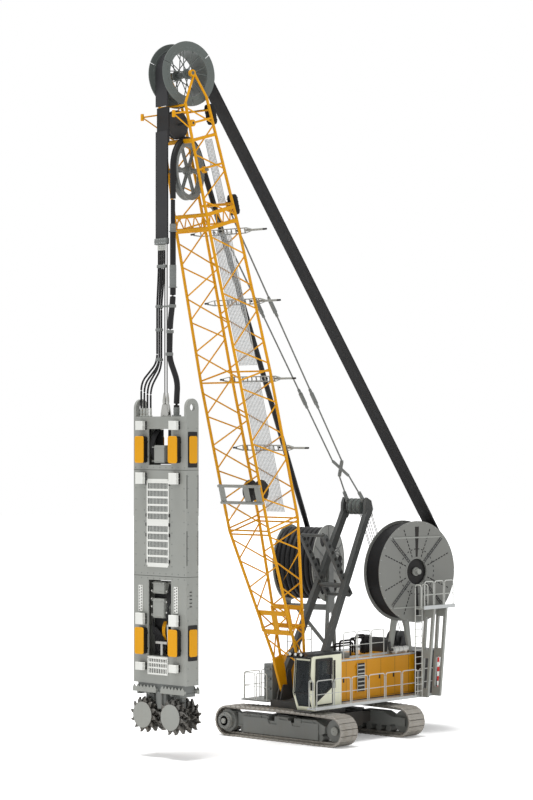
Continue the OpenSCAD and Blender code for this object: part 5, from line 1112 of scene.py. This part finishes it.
inner_steel += [tube(spline([(0.12, 5.1, 0.05), (0.3, 4.95, 0.2), (0.34, 4.6, 0.22), (0.3, 4.2, 0.15)]), 0.05,
                     10), panel(-0.3, 0.3, 4.3, 4.4, 0.0, 0.26), panel(-0.06, 0.06, 3.86, 4.35, 0.0, 0.24)]
inner_steel += [copies(join(disc(0.035, 0, 0.05), disc(0.05, -0.02, 0.0, 0.004, 6)),
                       [(-0.48, b, 0.24) for b in (5.4, 5.7, 6.0, 6.3)]
                       + [(0.3, b, 0.24) for b in (5.5, 5.9, 6.3)])]
piece("cutter_pump_boxes", "cutter", grey, *[both_faces(s) for s in inner_grey])
piece("cutter_inner_hoses_and_shade", "cutter", hose_rubber, *[both_faces(s) for s in inner_hoses_and_shade])
piece("cutter_inner_pipes", "cutter", bright_steel, *[both_faces(s) for s in inner_steel])
piece("cutter_marked_hoses", "cutter", yellow, *[both_faces(s) for s in inner_yellow])
print("machinery", len(made_pieces))

# %% [markdown]
# ## Cutter wheels
# Each wheel set is a drum on both sides of a narrow gearbox arm, ringed by tooth holders and shut by a plain
# disc. One tooth is a thick outline with a chisel edge. Three rows of twelve, each row turned on by a third
# of the step, leave no stripe of ground uncut.

# %% Toothed wheels
WHEEL_B, WHEEL_A, TIP_R, DISC_R = 1.6, 0.74, 0.68, 0.5
tooth = slab([(0.36, -0.085), (0.52, -0.09), (0.60, -0.035), (TIP_R, -0.05), (TIP_R - 0.01, 0.0), (0.6, 0.06),
              (0.52, 0.085), (0.36, 0.085)], -0.05, 0.05, 0.012)
for name, side in (("left", 1), ("right", -1)):
    metal, steel_bits = [], []
    for face in (1, -1):
        half = [ring(0.125, 0.40, 0.106, 0.50, 0.01, 40), ring(0.125, DISC_R, 0.50, 0.535, 0.008, 56)]
        half += [ring(0.3, 0.44, z, z + 0.02, 0.005, 40) for z in (0.2, 0.34)]
        caps = [disc(DISC_R - 0.012, 0.533, 0.5385, 0.003, 56),
                copies(disc(0.018, 0.537, 0.54, 0.002, 6),
                       [(0.45 * math.cos(t), 0.45 * math.sin(t), 0) for t in np.arange(12) * math.pi / 6]),
                disc(0.03, 0.536, 0.54, 0.002, 16)]
        teeth = [copies((tooth[0] + [0, 0, z], tooth[1]), turns=np.arange(12) * 30.0 + shift) for z,
                 shift in ((0.165, 0), (0.305, 10), (0.445, 20))]
        spot = Place((CUT_X, CUT_Y + side * WHEEL_A, WHEEL_B), (0, face, 0), (0, 0, 1))
        metal += [spot.put(s) for s in half + teeth]
        steel_bits += [spot.put(s) for s in caps]
    piece(f"{name}_cutter_teeth", f"cutter_wheel_{name}", tooth_steel, *metal,
          stands_for=[f"cutter_wheel_{name}"])
    piece(f"{name}_cutter_discs", f"cutter_wheel_{name}", grey, *steel_bits)
print("teeth", 2 * 2 * 36)

# %% Gear arms and the scraper combs above the wheels
comb_a = np.linspace(0, 1, 15)
teeth_b = np.where(np.arange(15) % 2 == 0, 2.62, 2.74)
comb_parts, arm_parts = [], []
for a0, a1 in ((-1.36, -0.12), (0.12, 1.36)):
    top = np.column_stack([a0 + (a1 - a0) * comb_a, teeth_b])
    comb = np.concatenate([[(a1, 2.46), (a0, 2.46)], top])
    comb_parts.append(slab(comb, 0.40, 0.43, 0.006))
    comb_parts.append(panel(a0, a1, 2.5, 2.6, 0.3, 0.41))
for side in (-1, 1):
    a = side * WHEEL_A
    arm_parts.append(slab([(a - 0.2, 2.5), (a - 0.13, 1.75), (a + 0.13, 1.75), (a + 0.2, 2.5)], -0.098, 0.098,
                          0.02))
arm_parts += [panel(-0.3, 0.3, 1.95, 2.55, -0.28, 0.28, 0.04),
              panel(-0.13, 0.13, 1.85, 2.5, 0.26, 0.36, 0.03),
              panel(-0.13, 0.13, 1.85, 2.5, -0.36, -0.26, 0.03)]
arm_parts += [panel(a - 0.08, a + 0.08, 2.36, 2.5, -0.34, 0.34, 0.02) for a in (-1.15, -0.6, 0.6, 1.15)]
piece("cutter_scraper_combs", "cutter", grey, *[both_faces(s) for s in comb_parts])
piece("cutter_gear_covers", "cutter", mid_grey, *[cutter.put(s) for s in arm_parts])
print("combs", len(comb_parts) * 2)

# %% [markdown]
# ## House
# The left house is four painted doors with dark seams and black latches, a louvred service door, a pale
# tread plate on the roof and a white silencer. The seams are thin strips a millimetre proud of the paint.

# %% Seams, latches, louvres and roof
HOUSE_Y, HOUSE_LOW, HOUSE_TOP = 1.55, 1.55, 3.2
seam_x = np.array([0.16, -1.12, -2.02, -2.92, -3.82])
seams = []
for side in (-1, 1):
    y0, y1 = sorted((side * (HOUSE_Y - 0.002), side * (HOUSE_Y + 0.0015)))
    seams.append(boxes([(x - 0.007, y0, HOUSE_LOW + 0.05) for x in seam_x],
                       [(x + 0.007, y1, HOUSE_TOP - 0.07) for x in seam_x], 0.0005))
    seams.append(boxes([(-4.19, y0, z) for z in (HOUSE_LOW + 0.04, HOUSE_TOP - 0.075)],
                       [(0.51, y1, z + 0.012) for z in (HOUSE_LOW + 0.04, HOUSE_TOP - 0.075)], 0.0005))
piece("house_seams", "upper", black_paint, *seams)
latch_x = np.array([0.33, -1.2, -1.93, -2.83])
latches = [boxes([(x - 0.045, s * 1.55 - 0.012 * (s < 0), 2.28) for x in latch_x],
                 [(x + 0.045, s * 1.55 + 0.012 * (s > 0), 2.45) for x in latch_x], 0.004)
           for s in (-1, 1)]
piece("house_latches", "upper", black_paint, *latches)
piece("roof_treads", "upper", zinc,
      boxes([(-4.17, 0.70, 3.2), (-4.17, -1.47, 3.2)], [(0.47, 1.27, 3.208), (0.47, -0.70, 3.208)], 0.003),
      boxes([(-4.2, s * 1.555 - 0.012, 3.135) for s in (-1, 1)],
            [(0.52, s * 1.555 + 0.012, 3.203) for s in (-1, 1)], 0.004))
print("house seams", 2 * len(seam_x))

# %% Louvred service door and silencer
slat_z = np.linspace(1.93, 2.9, 7)
# The black sheet behind the slats is painted shade inside the louvres.
piece("door_louvre_shade", "house_door", black_paint,
      boxes([(-0.94, 1.594, 1.86)], [(-0.50, 1.597, 2.99)], 0.0008))
piece("door_louvres", "house_door", light_grey,
      bars([(-0.925, 1.6, z) for z in slat_z], [(-0.515, 1.6, z) for z in slat_z], 0.02, 0.045, bevel=0.004),
      boxes([(-0.955, 1.592, 1.845), (-0.5, 1.592, 1.845)], [(-0.935, 1.606, 3.0), (-0.48, 1.606, 3.0)],
            0.003))
silencer_bands = copies(ring(0.11, 0.118, 0, 0.035, 0.004, 40),
                        spots=[(0, 0, x) for x in (-3.86, -3.55, -3.3, -3.02)])
along_x = Place((0, 1.4, 3.37), (0, 1, 0), (0, 0, 1))
piece("silencer_bands", "upper", zinc, along_x.put(silencer_bands))
piece("silencer_outlet", "upper", dark_grey,
      tube(rounded([(-2.96, 1.4, 3.37), (-2.75, 1.4, 3.37), (-2.75, 1.4, 3.72)], 0.12, 7), 0.06, 20),
      tube(rounded([(-3.88, 1.4, 3.37), (-4.02, 1.4, 3.37), (-4.02, 1.1, 3.26)], 0.09, 7), 0.06, 20))
print("louvres", len(slat_z))

# %% [markdown]
# ## Engine bay and counterweight
# Behind the roof the photograph shows dark machinery. It is not readable, so usual things stand there:
# a cooler with its grille, an air cleaner, a tank and bent steel pipes. The counterweight gets its seams
# and the red and white warning strips on its rear corners.

# %% Machinery between the houses
warning_red = finish("warning red", (188, 30, 26), 0.4, soil=0.2)
piece("cooler_box", "upper", dark_grey,
      boxes([(-4.12, -0.58, 2.70), (-3.2, -0.42, 2.70)], [(-3.35, 0.58, 3.72), (-2.3, 0.42, 2.98)], 0.03))
grille_y = np.linspace(-0.5, 0.5, 21)
piece("cooler_grille", "upper", black_paint,
      bars([(-4.08, y, 3.73) for y in grille_y], [(-3.39, y, 3.73) for y in grille_y], 0.014, 0.02))
cleaner = lathe([(0.001, 0), (0.2, 0), (0.22, 0.03), (0.22, 0.62), (0.2, 0.66), (0.16, 0.7), (0.16, 0.78),
                 (0.26, 0.8), (0.26, 0.9), (0.2, 0.95), (0.001, 0.96)], 36)
piece("air_cleaner", "upper", black_paint, copies(cleaner, spots=[(-2.75, 0.1, 2.98)]))
pipe_lanes = [rounded([(-2.35, y, 2.9), (-2.35, y, 3.5 + 0.12 * i), (-1.0 - 0.2 * i, y, 3.5 + 0.12 * i),
                       (-1.0 - 0.2 * i, y, 3.0), (-1.0 - 0.2 * i, 0.69, 3.0)], 0.12, 7)
              for i, y in enumerate((-0.36, -0.24, -0.12, 0.28, 0.4))]
piece("engine_pipes", "upper", black_paint, *[tube(p, 0.04, 12) for p in pipe_lanes])
piece("oil_tank", "upper", mid_grey, boxes([(-0.5, 0.69, 3.208)], [(0.3, 1.2, 3.42)], 0.03),
      boxes([(-0.2, 0.85, 3.42)], [(0.0, 1.05, 3.47)], 0.01))
print("engine bay pieces", 5)

# %% Counterweight seams and warning strips
weight_outline = [(-4.2, -1.88), (-4.2, 1.88), (-5.48, 1.88), (-5.8, 1.56), (-5.8, -1.56), (-5.48, -1.88)]
layers = [(1.402, 1.99), (2.015, 2.6), (2.625, 3.248)]
piece("ballast_blocks", "upper", black_paint, *[slab(weight_outline, a, b, 0.025) for a, b in layers],
      slab([(x * 0.99 - 0.05, y * 0.985) for x, y in weight_outline], 1.41, 3.24, 0.02),
      stands_for=["counterweight"])
strip_z = np.linspace(1.55, 3.12, 9)
strips = {0: [], 1: []}
for k, (a, b) in enumerate(zip(strip_z[:-1], strip_z[1:])):
    for side in (-1, 1):
        strips[k % 2].append(boxes([(-5.46, side * 1.882 - 0.003, a)], [(-5.30, side * 1.882 + 0.003, b)],
                                   0.0006))
        strips[k % 2].append(boxes([(-5.804, side * 1.46 - 0.08, a)], [(-5.798, side * 1.46 + 0.08, b)],
                                   0.0006))
piece("warning_red_strips", "upper", warning_red, *strips[0])
piece("warning_white_strips", "upper", white_paint, *strips[1])
print("warning strips", 4 * (len(strip_z) - 1))

# %% [markdown]
# ## Rails and ladder
# Each rail is one bent tube with rounded shoulders, a thinner knee rail and two foot plates. A function
# of the two feet makes one frame, and rows of frames repeat the solids' places.

# %% Rail frames
RAIL_H, RAIL_R = 1.1, 0.02
rail_rows = [((-4.56, 2.31, 1.51), (2.87, 2.31, 1.51), 7), ((2.91, 2.23, 1.51), (2.91, 1.94, 1.51), 1),
             ((-4.16, -2.31, 1.51), (2.07, -2.31, 1.51), 6), ((2.11, -2.23, 1.51), (2.11, -0.94, 1.51), 2),
             ((-2.3, 1.51, 3.2), (0.32, 1.51, 3.2), 3), ((-1.25, -1.51, 3.2), (0.32, -1.51, 3.2), 2),
             ((-4.91, 3.06, 5.15), (-2.94, 3.06, 5.15), 3)]
rail_tubes, rail_feet = [], []
for start, end, count in rail_rows:
    start, end = np.array(start), np.array(end)
    step = (end - start) / count
    gap = unit(end - start) * 0.045
    for i in range(count):
        a, b = start + step * i + gap, start + step * (i + 1) - gap
        up = np.array([0, 0, RAIL_H - RAIL_R])
        rail_tubes.append(tube(rounded([a, a + up, b + up, b], min(0.12, np.linalg.norm(b - a) / 3), 6),
                               RAIL_R, 12))
        rail_tubes.append(tube(np.linspace(a + up / 2, b + up / 2, 3), 0.015, 10))
        rail_feet.append(boxes([a - (0.035, 0.035, 0), b - (0.035, 0.035, 0)],
                               [a + (0.035, 0.035, 0.012), b + (0.035, 0.035, 0.012)], 0.003))
piece("rail_frames", "upper", light_grey, *rail_tubes, stands_for=["hand_rails"])
piece("rail_feet", "upper", zinc, *rail_feet)
print("rail frames", len(rail_feet))

# %% Ladder to the side platform and tread edges
ladder_x, ladder_y = -3.1, 2.66
ladder_rungs = np.arange(1.75, 5.1, 0.28)
piece("platform_ladder", "upper", light_grey,
      *[tube(rounded([(ladder_x + s, ladder_y, 1.51), (ladder_x + s, ladder_y, 6.1),
                      (ladder_x + s, ladder_y + 0.3, 6.1), (ladder_x + s, ladder_y + 0.3, 5.15)], 0.12, 6),
                      0.022, 12) for s in (-0.22, 0.22)],
      *[tube(np.array([(ladder_x - 0.22, ladder_y, z), (ladder_x, ladder_y, z),
                       (ladder_x + 0.22, ladder_y, z)]), 0.015, 8) for z in ladder_rungs])
piece("walkway_edges", "upper", zinc, boxes([(-4.6, 2.335, 1.44), (-4.2, -2.352, 1.44), (-4.95, 3.09, 5.1)],
                                            [(2.95, 2.352, 1.56), (0.52, -2.335, 1.56), (-2.9, 3.105, 5.25)],
                                            0.004))
print("ladder rungs", len(ladder_rungs))

# %% [markdown]
# ## Cab
# The photograph shows a dark glazed cab in a cream frame: a broad rear pillar, a thin roof and a lower
# corner under a sloping sill, with a black door frame and a black visor that carries three white lamps.

# %% Sliding door, pillar and front trim
def framed(outer, inner, z0, z1):
    """A flat frame between two outlines with equally many corners: two ring faces and two walls."""
    o, i = np.asarray(outer, float), np.asarray(inner, float)
    n = len(o)
    rows = [(o, z0), (o, z1), (i, z1), (i, z0)]
    points = np.concatenate([np.column_stack([q, np.full(n, z)]) for q, z in rows])
    k = np.arange(n)
    nxt = (k + 1) % n
    faces = [np.stack([r * n + k, r * n + nxt, ((r + 1) % 4) * n + nxt, ((r + 1) % 4) * n + k], -1)
             for r in range(4)]
    return points, np.concatenate(faces).tolist()


side_face = Place((0, 1.9003, 0), (-1, 0, 0), (0, 0, 1))


def on_side(points):
    """Points given as (x, z) turned into the side face's own (a, b), where a runs to the rear."""
    return [(-x, z) for x, z in points][::-1]


door_edge = rounded([(1.9, 1.54, 0), (1.44, 1.54, 0), (1.44, 3.39, 0), (2.43, 3.39, 0), (2.47, 1.95, 0),
                     (2.43, 1.54, 0), (1.9, 1.54, 0)], 0.06, 5)[1:-1, :2]
door_pane = rounded([(1.9, 2.055, 0), (1.57, 2.25, 0), (1.57, 3.30, 0), (2.30, 3.30, 0), (2.33, 2.5, 0),
                     (2.34, 1.80, 0), (1.9, 2.055, 0)], 0.05, 5)[1:-1, :2]
piece("cab_door_frame", "cab_door", black_paint,
      side_face.put(framed(on_side(door_edge), on_side(door_pane), 0.0, 0.045)), stands_for=["cab_door"])
piece("cab_door_pane", "cab_door", cab_tint, side_face.put(slab(on_side(door_pane), 0.016, 0.024, 0.001)))
piece("cab_door_skin", "cab_door", cream,
      side_face.put(slab(on_side([(1.5, 1.6), (2.37, 1.6), (2.37, 1.70), (1.5, 2.2)]), 0.044, 0.048, 0.001)))
handle = rounded([(1.53, 1.95, 2.42), (1.53, 1.975, 2.42), (1.53, 1.975, 2.72), (1.53, 1.95, 2.72)], 0.02, 4)
piece("cab_door_handle", "cab_door", bright_steel, tube(handle, 0.011, 10))
print("door frame corners", len(door_edge))

# %% Cab front, visor lamps, mirror and wiper
front_low, front_knee, front_top = (2.505, 1.53), (2.757, 2.05), (2.64, 3.42)
front_bars = [bars([(x0, y, z0)], [(x1, y, z1)], 0.05, 0.03, (1, 0, 0), 0.006)
              for (x0, z0), (x1, z1) in ((front_low, front_knee), (front_knee, front_top))
              for y in (1.055, 1.845)]
cross = [boxes([(x - 0.02, 1.05, z - 0.025)], [(x + 0.012, 1.85, z + 0.025)], 0.006) for x,
         z in (front_low, front_knee, front_top)]
piece("cab_front_frame", "upper", black_paint, *front_bars, *cross)
lamp_spots = [(3.05, y, 3.6) for y in (1.16, 1.45, 1.74)]
forward_face = Place((0, 0, 0), (0, 1, 0), (0, 0, 1))
piece("visor_lamps", "upper", white_paint,
      *[forward_face.put(copies(disc(0.062, 3.1, 3.122, 0.008, 28), spots=[(y, z, 0)])) for _, y,
        z in lamp_spots])
piece("cab_mirror", "upper", black_paint,
      tube(rounded([(2.7, 1.86, 2.7), (2.86, 2.0, 2.75), (2.86, 2.08, 2.5)], 0.06, 5), 0.014, 10),
      boxes([(2.83, 2.0, 2.2)], [(2.87, 2.17, 2.52)], 0.012))
piece("cab_wiper", "upper", black_paint, bars([(2.775, 1.3, 2.1)], [(2.70, 1.6, 2.85)], 0.014, 0.014))
print("lamps", len(lamp_spots))

# %% [markdown]
# ## Seat
# The seat's cushion and back are padded. A full run blows a block up as cloth, so that the cover is
# stretched over the filling and dips at its edges.

# %% Cushions
MOST_MOVE = 0.012


def cushion(name, centre, half, power):
    made = piece(name, "upper", seat_cloth, soft_box(centre, half, power, 36, 60), stands_for=["cab_seat"],
                 crease=80)
    scene = bpy.context.scene
    start = np.array([v.co[:] for v in made.data.vertices])
    cover = made.modifiers.new("cloth", "CLOTH").settings
    cover.use_pressure = True
    cover.uniform_pressure_force = 4.0
    cover.effector_weights.gravity = 0.0
    for step in range(1, 21):
        scene.frame_set(step)
    seen = made.evaluated_get(bpy.context.evaluated_depsgraph_get()).to_mesh()
    move = np.array([v.co[:] for v in seen.vertices]) - start
    far = np.linalg.norm(move, axis=1, keepdims=True)
    made.modifiers.clear()
    settled = start + move * np.minimum(1, MOST_MOVE / np.maximum(far, 1e-9))
    made.data.vertices.foreach_set("co", settled.ravel())
    made.data.update()
    scene.frame_set(1)
    return made


cushion("seat_cushion", (1.49, 1.45, 1.84), (0.265, 0.245, 0.075), 4.0)
cushion("seat_back", (1.235, 1.45, 2.3), (0.075, 0.235, 0.39), 4.0)
piece("seat_base", "upper", black_paint, boxes([(1.28, 1.27, 1.41)], [(1.68, 1.63, 1.77)], 0.02),
      boxes([(1.28, y - 0.055, 1.41) for y in (1.14, 1.76)], [(1.81, y + 0.055, 2.11) for y in (1.14, 1.76)],
            0.03),
      tube(np.array([(1.72, 1.14, 2.1), (1.73, 1.14, 2.2), (1.72, 1.14, 2.27)]), 0.016, 10),
      tube(np.array([(1.72, 1.76, 2.1), (1.73, 1.76, 2.2), (1.72, 1.76, 2.27)]), 0.016, 10),
      stands_for=["cab_seat"])
print("padded pieces", 2)

# %% [markdown]
# ## Belt reel
# The reel's flange is a shallow dish of pale sheet with a black hub hole; the black in the hole is painted
# shade. Rows of short slots run along its spokes and round an inner circle; they are black bars on the dish
# that paint the shade in the slots. Flat details are made on a plane and then lifted onto the dish by one
# formula, height = f(radius).

# %% Dished flanges and hub
REEL_R, HUB_R = 2.075, 0.56
reel_grey = finish("reel grey paint", (126, 127, 123), 0.4, soil=0.2, wear_and_highlight=0.3)
reel = Place((-3.5, 1.85, 6.6), -np.array(forward), (0, 0, 1))


def dish(r):
    """Height of the flange's outer face: flat at the rim, sloping in towards the hub."""
    return np.interp(r, [HUB_R, 1.93, 2.0, REEL_R], [0.446, 0.462, 0.475, 0.475])


def on_dish(shape, lift=0.0):
    points = np.array(shape[0])
    points[:, 2] += dish(np.hypot(points[:, 0], points[:, 1])) + lift
    return points, shape[1]


def both_ends(*shapes):
    """The shapes set on the reel's left end, and again on its right end after half a turn about the plumb."""
    return [reel.put(s) for s in shapes] + [reel.put(copies(s, turns=[180], axis=1)) for s in shapes]


flange = lathe([(HUB_R, 0.437), (REEL_R, 0.437), (REEL_R, 0.475), (2.0, 0.475), (1.93, 0.462),
                (HUB_R, 0.446)], 96)
hub_ring = ring(HUB_R - 0.03, HUB_R + 0.05, 0.36, 0.463, 0.012, 64)
piece("belt_reel_flanges", "belt_reel", reel_grey, *both_ends(flange, hub_ring), stands_for=["belt_reel"])
# The black ring inside the hub ring is painted shade in the hub hole; the ring under the belt is the drum
# core.
piece("belt_reel_core", "belt_reel", black_paint, reel.put(ring(0.12, HUB_R - 0.02, -0.36, 0.36, 0.01, 48)),
      reel.put(ring(0.8, 0.9, -0.43, 0.43, 0.01, 64)), stands_for=["belt_reel"])
piece("belt_reel_shaft", "belt_reel", grey,
      *both_ends(ring(0.112, 0.17, 0.3, 0.44, 0.012, 32),
                 copies(copies(disc(0.016, 0.44, 0.46, 0.003, 8), spots=[(0.142, 0, 0)]),
                        turns=np.arange(0, 360, 60))))
print("flange points", len(flange[0]))

# %% Slots, braces and cross bars on the flanges
# The slots and gaps of the flange are not cut: black bars and two tapered black plates on the dish paint
# their shade.
dash_r = np.arange(0.64, 1.9, 0.16)
radial = bars([(r, 0, 0.002) for r in dash_r], [(r + 0.11, 0, 0.002) for r in dash_r], 0.045, 0.006)
spoke_turns = np.arange(22.5, 360, 45)
inner = copies(bars([(0.93, -0.045, 0.002)], [(0.93, 0.045, 0.002)], 0.04, 0.006),
               turns=np.arange(0, 360, 12))
upright = [slab([(-0.05, 0.56), (0.05, 0.56), (0.11, 1.84), (-0.11, 1.84)], -0.002, 0.006, 0.002)]
piece("belt_reel_slot_shade", "belt_reel", black_paint,
      *both_ends(on_dish(copies(radial, turns=spoke_turns)), on_dish(inner),
                 on_dish(copies(upright[0], turns=[0, 180]))))
rails = bars([(0.52, s * 0.045, 0.012) for s in (-1, 1)], [(1.92, s * 0.045, 0.012) for s in (-1, 1)], 0.022,
             0.03)
ties = bars([(r, -0.045, 0.012) for r in np.arange(0.6, 1.9, 0.13)],
            [(r, 0.045, 0.012) for r in np.arange(0.6, 1.9, 0.13)], 0.03, 0.02)
piece("belt_reel_braces", "belt_reel", dark_grey,
      *both_ends(on_dish(copies(join(rails, ties), turns=[45, 135, 225, 315]))))
chords = [bars([(x0, b, 0.012)], [(x1, b, 0.012)], 0.055, 0.03) for b in (-1.45, 1.4) for x0,
          x1 in ((-1.3, -0.15), (-0.15, 0.15), (0.15, 1.3))]
piece("belt_reel_cross_bars", "belt_reel", grey, *both_ends(*[on_dish(c) for c in chords]))
rim_bolts = copies(disc(0.018, 0.0, 0.014, 0.003, 8), spots=[(2.035, 0, 0)])
piece("belt_reel_bolts", "belt_reel", zinc,
      *both_ends(on_dish(copies(rim_bolts, turns=np.arange(0, 360, 15)))))
print("slots", len(dash_r) * 8 + 30)

# %% [markdown]
# ## Slurry hose reel
# Eight turns of thick hose lie side by side on the drum, so their outline is a row of half circles
# turned about the axle. The open flange carries a hub plate, stiff ribs and the feed pipes.

# %% Wound hose and flange fittings
hose_reel = Place((-1.784, -2.151, 6.87), -np.array(hose_forward), (0, 0, 1))
half_turn = np.radians(np.linspace(180, 0, 9))
turns_of_hose = [(1.39 + 0.109 * math.sin(t), -0.764 + 0.2183 * k + 0.109 * math.cos(t))
                 for k in range(8) for t in half_turn]
piece("wound_hose_turns", "hose_reel", hose_rubber,
      hose_reel.put(lathe([(0.765, -0.872), *sorted(turns_of_hose, key=lambda q: q[1]), (0.765, 0.872)], 96)),
      stands_for=["wound_hose"])
rim = lathe([(1.568 + 0.02 * math.cos(t), 0.904 + 0.02 * math.sin(t))
             for t in np.radians(np.arange(0, 360, 45))], 96)
ribs = copies(bars([(0.35, 0, 0.907)], [(1.56, 0, 0.907)], 0.07, 0.034), turns=np.arange(30, 390, 60))
hub_plate = ring(0.11, 0.42, 0.895, 0.927, 0.008, 48)
ends = [s for shape in (rim, ribs, hub_plate)
        for s in (hose_reel.put(shape), hose_reel.put(copies(shape, turns=[180], axis=1)))]
piece("hose_reel_ribs", "hose_reel", mid_grey, *ends)
FEED_Z = 0.905
feed = [rounded([(0.3 + 0.05 * i, 0.1 * i, FEED_Z), (0.6, 0.25 + 0.1 * i, FEED_Z),
                 (0.95, 0.2 + 0.14 * i, FEED_Z),
                 (1.2, 0.1 * i, FEED_Z)], 0.12, 6) for i in range(4)]
piece("hose_reel_feed", "hose_reel", hose_rubber, *[hose_reel.put(tube(p, 0.02, 10)) for p in feed])
piece("hose_reel_bolts", "hose_reel", zinc,
      hose_reel.put(copies(copies(disc(0.02, 0.92, 0.933, 0.003, 8), spots=[(0.34, 0, 0)]),
                           turns=np.arange(0, 360, 30))))
print("hose turns", 8)

# %% [markdown]
# ## Derrick, backstop and pendants
# The derrick head carries a wide grooved drum of sheaves. The backstop's beams are pierced with round holes,
# drawn here as dark discs a hair proud that are painted shade in the holes. The pendants have turned
# couplings on their way up.

# %% Sheave drum, ear bolts and backstop holes
head = np.array([-2.4, 0, 9.25])
across = Place(head, (1, 0, 0), (0, 0, -1))
groove_z = np.linspace(-0.372, 0.372, 33)
groove_r = 0.318 - 0.022 * (np.arange(33) % 2)
drum = lathe([(0.085, -0.372), *zip(groove_r, groove_z), (0.085, 0.372)], 64)
piece("derrick_sheave_drum", "derrick", olive_grey, across.put(drum))
ear_bolts = [disc(0.05, s * 0.6 - (0.055 if s < 0 else -0.03), s * 0.6 + (0.055 if s > 0 else -0.03), 0.006,
                  20) for s in (-1, 1)]
ear_spots = [(0.0, 0.0), (0.15, -0.25), (0.2, 0.2)]
piece("derrick_ear_pins", "derrick", zinc,
      *[across.put(copies(b, spots=[(x, y, 0)])) for b in ear_bolts for x, y in ear_spots])
stop_low, stop_high = np.array([-1.2, 0, 5.67]), np.array([0.42, 0, 8.14])
stop_run = unit(stop_high - stop_low)
holes = []
for side in (-1, 1):
    spot = Place(stop_low + np.array([0, side * 0.6, 0]), stop_run, np.cross((0, side, 0), stop_run))
    reach = float(np.linalg.norm(stop_high - stop_low))
    holes += [spot.put(copies(disc(0.075, z, z + 0.003, 0.001, 24), spots=[(u, 0, 0)]))
              for u in np.linspace(0.2, reach - 0.2, 9) for z in (0.0645, -0.0675)]
piece("backstop_hole_shade", "derrick", black_paint, *holes)
print("backstop holes", len(holes))

# %% Pendant couplings and luffing ropes
pendant_low = head + np.array([0.15, 0, 0.25])
pendant_high = boom([(19.62, 0, float(chord_hd(19.62)) + 0.145)])[0] - np.array([0, 0, 0.06])


def pendant_point(t, y):
    p = pendant_low + (pendant_high - pendant_low) * t
    return np.array([p[0], y, p[2]])


sleeves = []
for side in (-1, 1):
    for t in (0.36, 0.67):
        y = side * (0.25 + 0.18 * (t - 0.137) / (1 - 0.137))
        a, b = pendant_point(t - 0.02, y), pendant_point(t + 0.02, y)
        sleeves.append(bars([a], [b], 0.11, 0.16, bevel=0.02))
        for end, to in ((a, -0.012), (b, 0.012)):
            sleeves.append(tube(np.array([end, pendant_point(t + (0.032 if to > 0 else -0.032), y)]), 0.06,
                                16))
    low = pendant_point(0.004, side * 0.43)
    sleeves.append(tube(np.array([low, pendant_point(0.03, side * 0.4)]), 0.075, 16))
piece("pendant_couplings", "pendants", mid_grey, *sleeves)
print("pendant couplings", len(sleeves))

# %% [markdown]
# ## Floor and light
# The photograph is cut out on white, so the floor is pale and the sky that lights it is white.
# The sky gives soft light from all round, and one wide sun from nearly overhead puts a soft shadow right
# below the cutter. What the camera sees of the sky is plain white, which doesn't change the light.

# %% Floor, sky and sun
floor_mesh = bpy.data.meshes.new("floor")
FLOOR_R = 260.0
floor_points, floor_faces = disc(FLOOR_R, -0.06, -0.002, 0.001, 96)
floor_mesh.from_pydata(floor_points.tolist(), [], floor_faces)
floor = bpy.data.objects.new("floor", floor_mesh)
bpy.context.scene.collection.objects.link(floor)
floor_finish = bpy.data.materials.new("studio floor")
floor_finish.use_nodes = True
tree = floor_finish.node_tree
tree.nodes["Principled BSDF"].inputs["Base Color"].default_value = (0.93, 0.93, 0.93, 1)
tree.nodes["Principled BSDF"].inputs["Roughness"].default_value = 0.9
tree.nodes["Principled BSDF"].inputs["Specular IOR Level"].default_value = 0.0
rays = add(tree, "ShaderNodeLightPath")
glow = add(tree, "ShaderNodeEmission", {"Color": (1, 1, 1, 1), "Strength": 0.22})
dark = add(tree, "ShaderNodeEmission", {"Color": (0, 0, 0, 1), "Strength": 0.0})
chosen = add(tree, "ShaderNodeMixShader",
             {0: rays.outputs["Is Camera Ray"], 1: dark.outputs[0], 2: glow.outputs[0]})
both = add(tree, "ShaderNodeAddShader", {0: tree.nodes["Principled BSDF"].outputs[0], 1: chosen.outputs[0]})
tree.links.new(both.outputs[0], tree.nodes["Material Output"].inputs["Surface"])
floor.data.materials.append(floor_finish)

world = bpy.data.worlds.new("studio")
bpy.context.scene.world = world
world.use_nodes = True
tree = world.node_tree
rays = add(tree, "ShaderNodeLightPath")
seen = math_node(tree, "MAXIMUM", rays.outputs["Is Camera Ray"], rays.outputs["Is Transmission Ray"])
seen = math_node(tree, "MAXIMUM", seen, rays.outputs["Is Glossy Ray"])
SKY = 0.66
strength = spread(tree, seen, 0.0, 1.0, SKY, 1.0)
tree.nodes["Background"].inputs["Color"].default_value = (1, 1, 1, 1)
tree.links.new(strength, tree.nodes["Background"].inputs["Strength"])

sun_data = bpy.data.lights.new("sun", "SUN")
sun_data.energy = 2.5
sun_data.angle = math.radians(20)
sun = bpy.data.objects.new("sun", sun_data)
sun.rotation_euler = (math.radians(9), 0, math.radians(75))
bpy.context.scene.collection.objects.link(sun)
bpy.context.scene.view_settings.view_transform = "Standard"
print("sky", SKY, "sun", sun_data.energy)

# %% [markdown]
# ## Last measure
# The last cell counts the pieces made and their triangles.

# %% Count the pieces and finish
print("pieces", len(made_pieces), "triangles", sum(n for _, n in made_pieces))
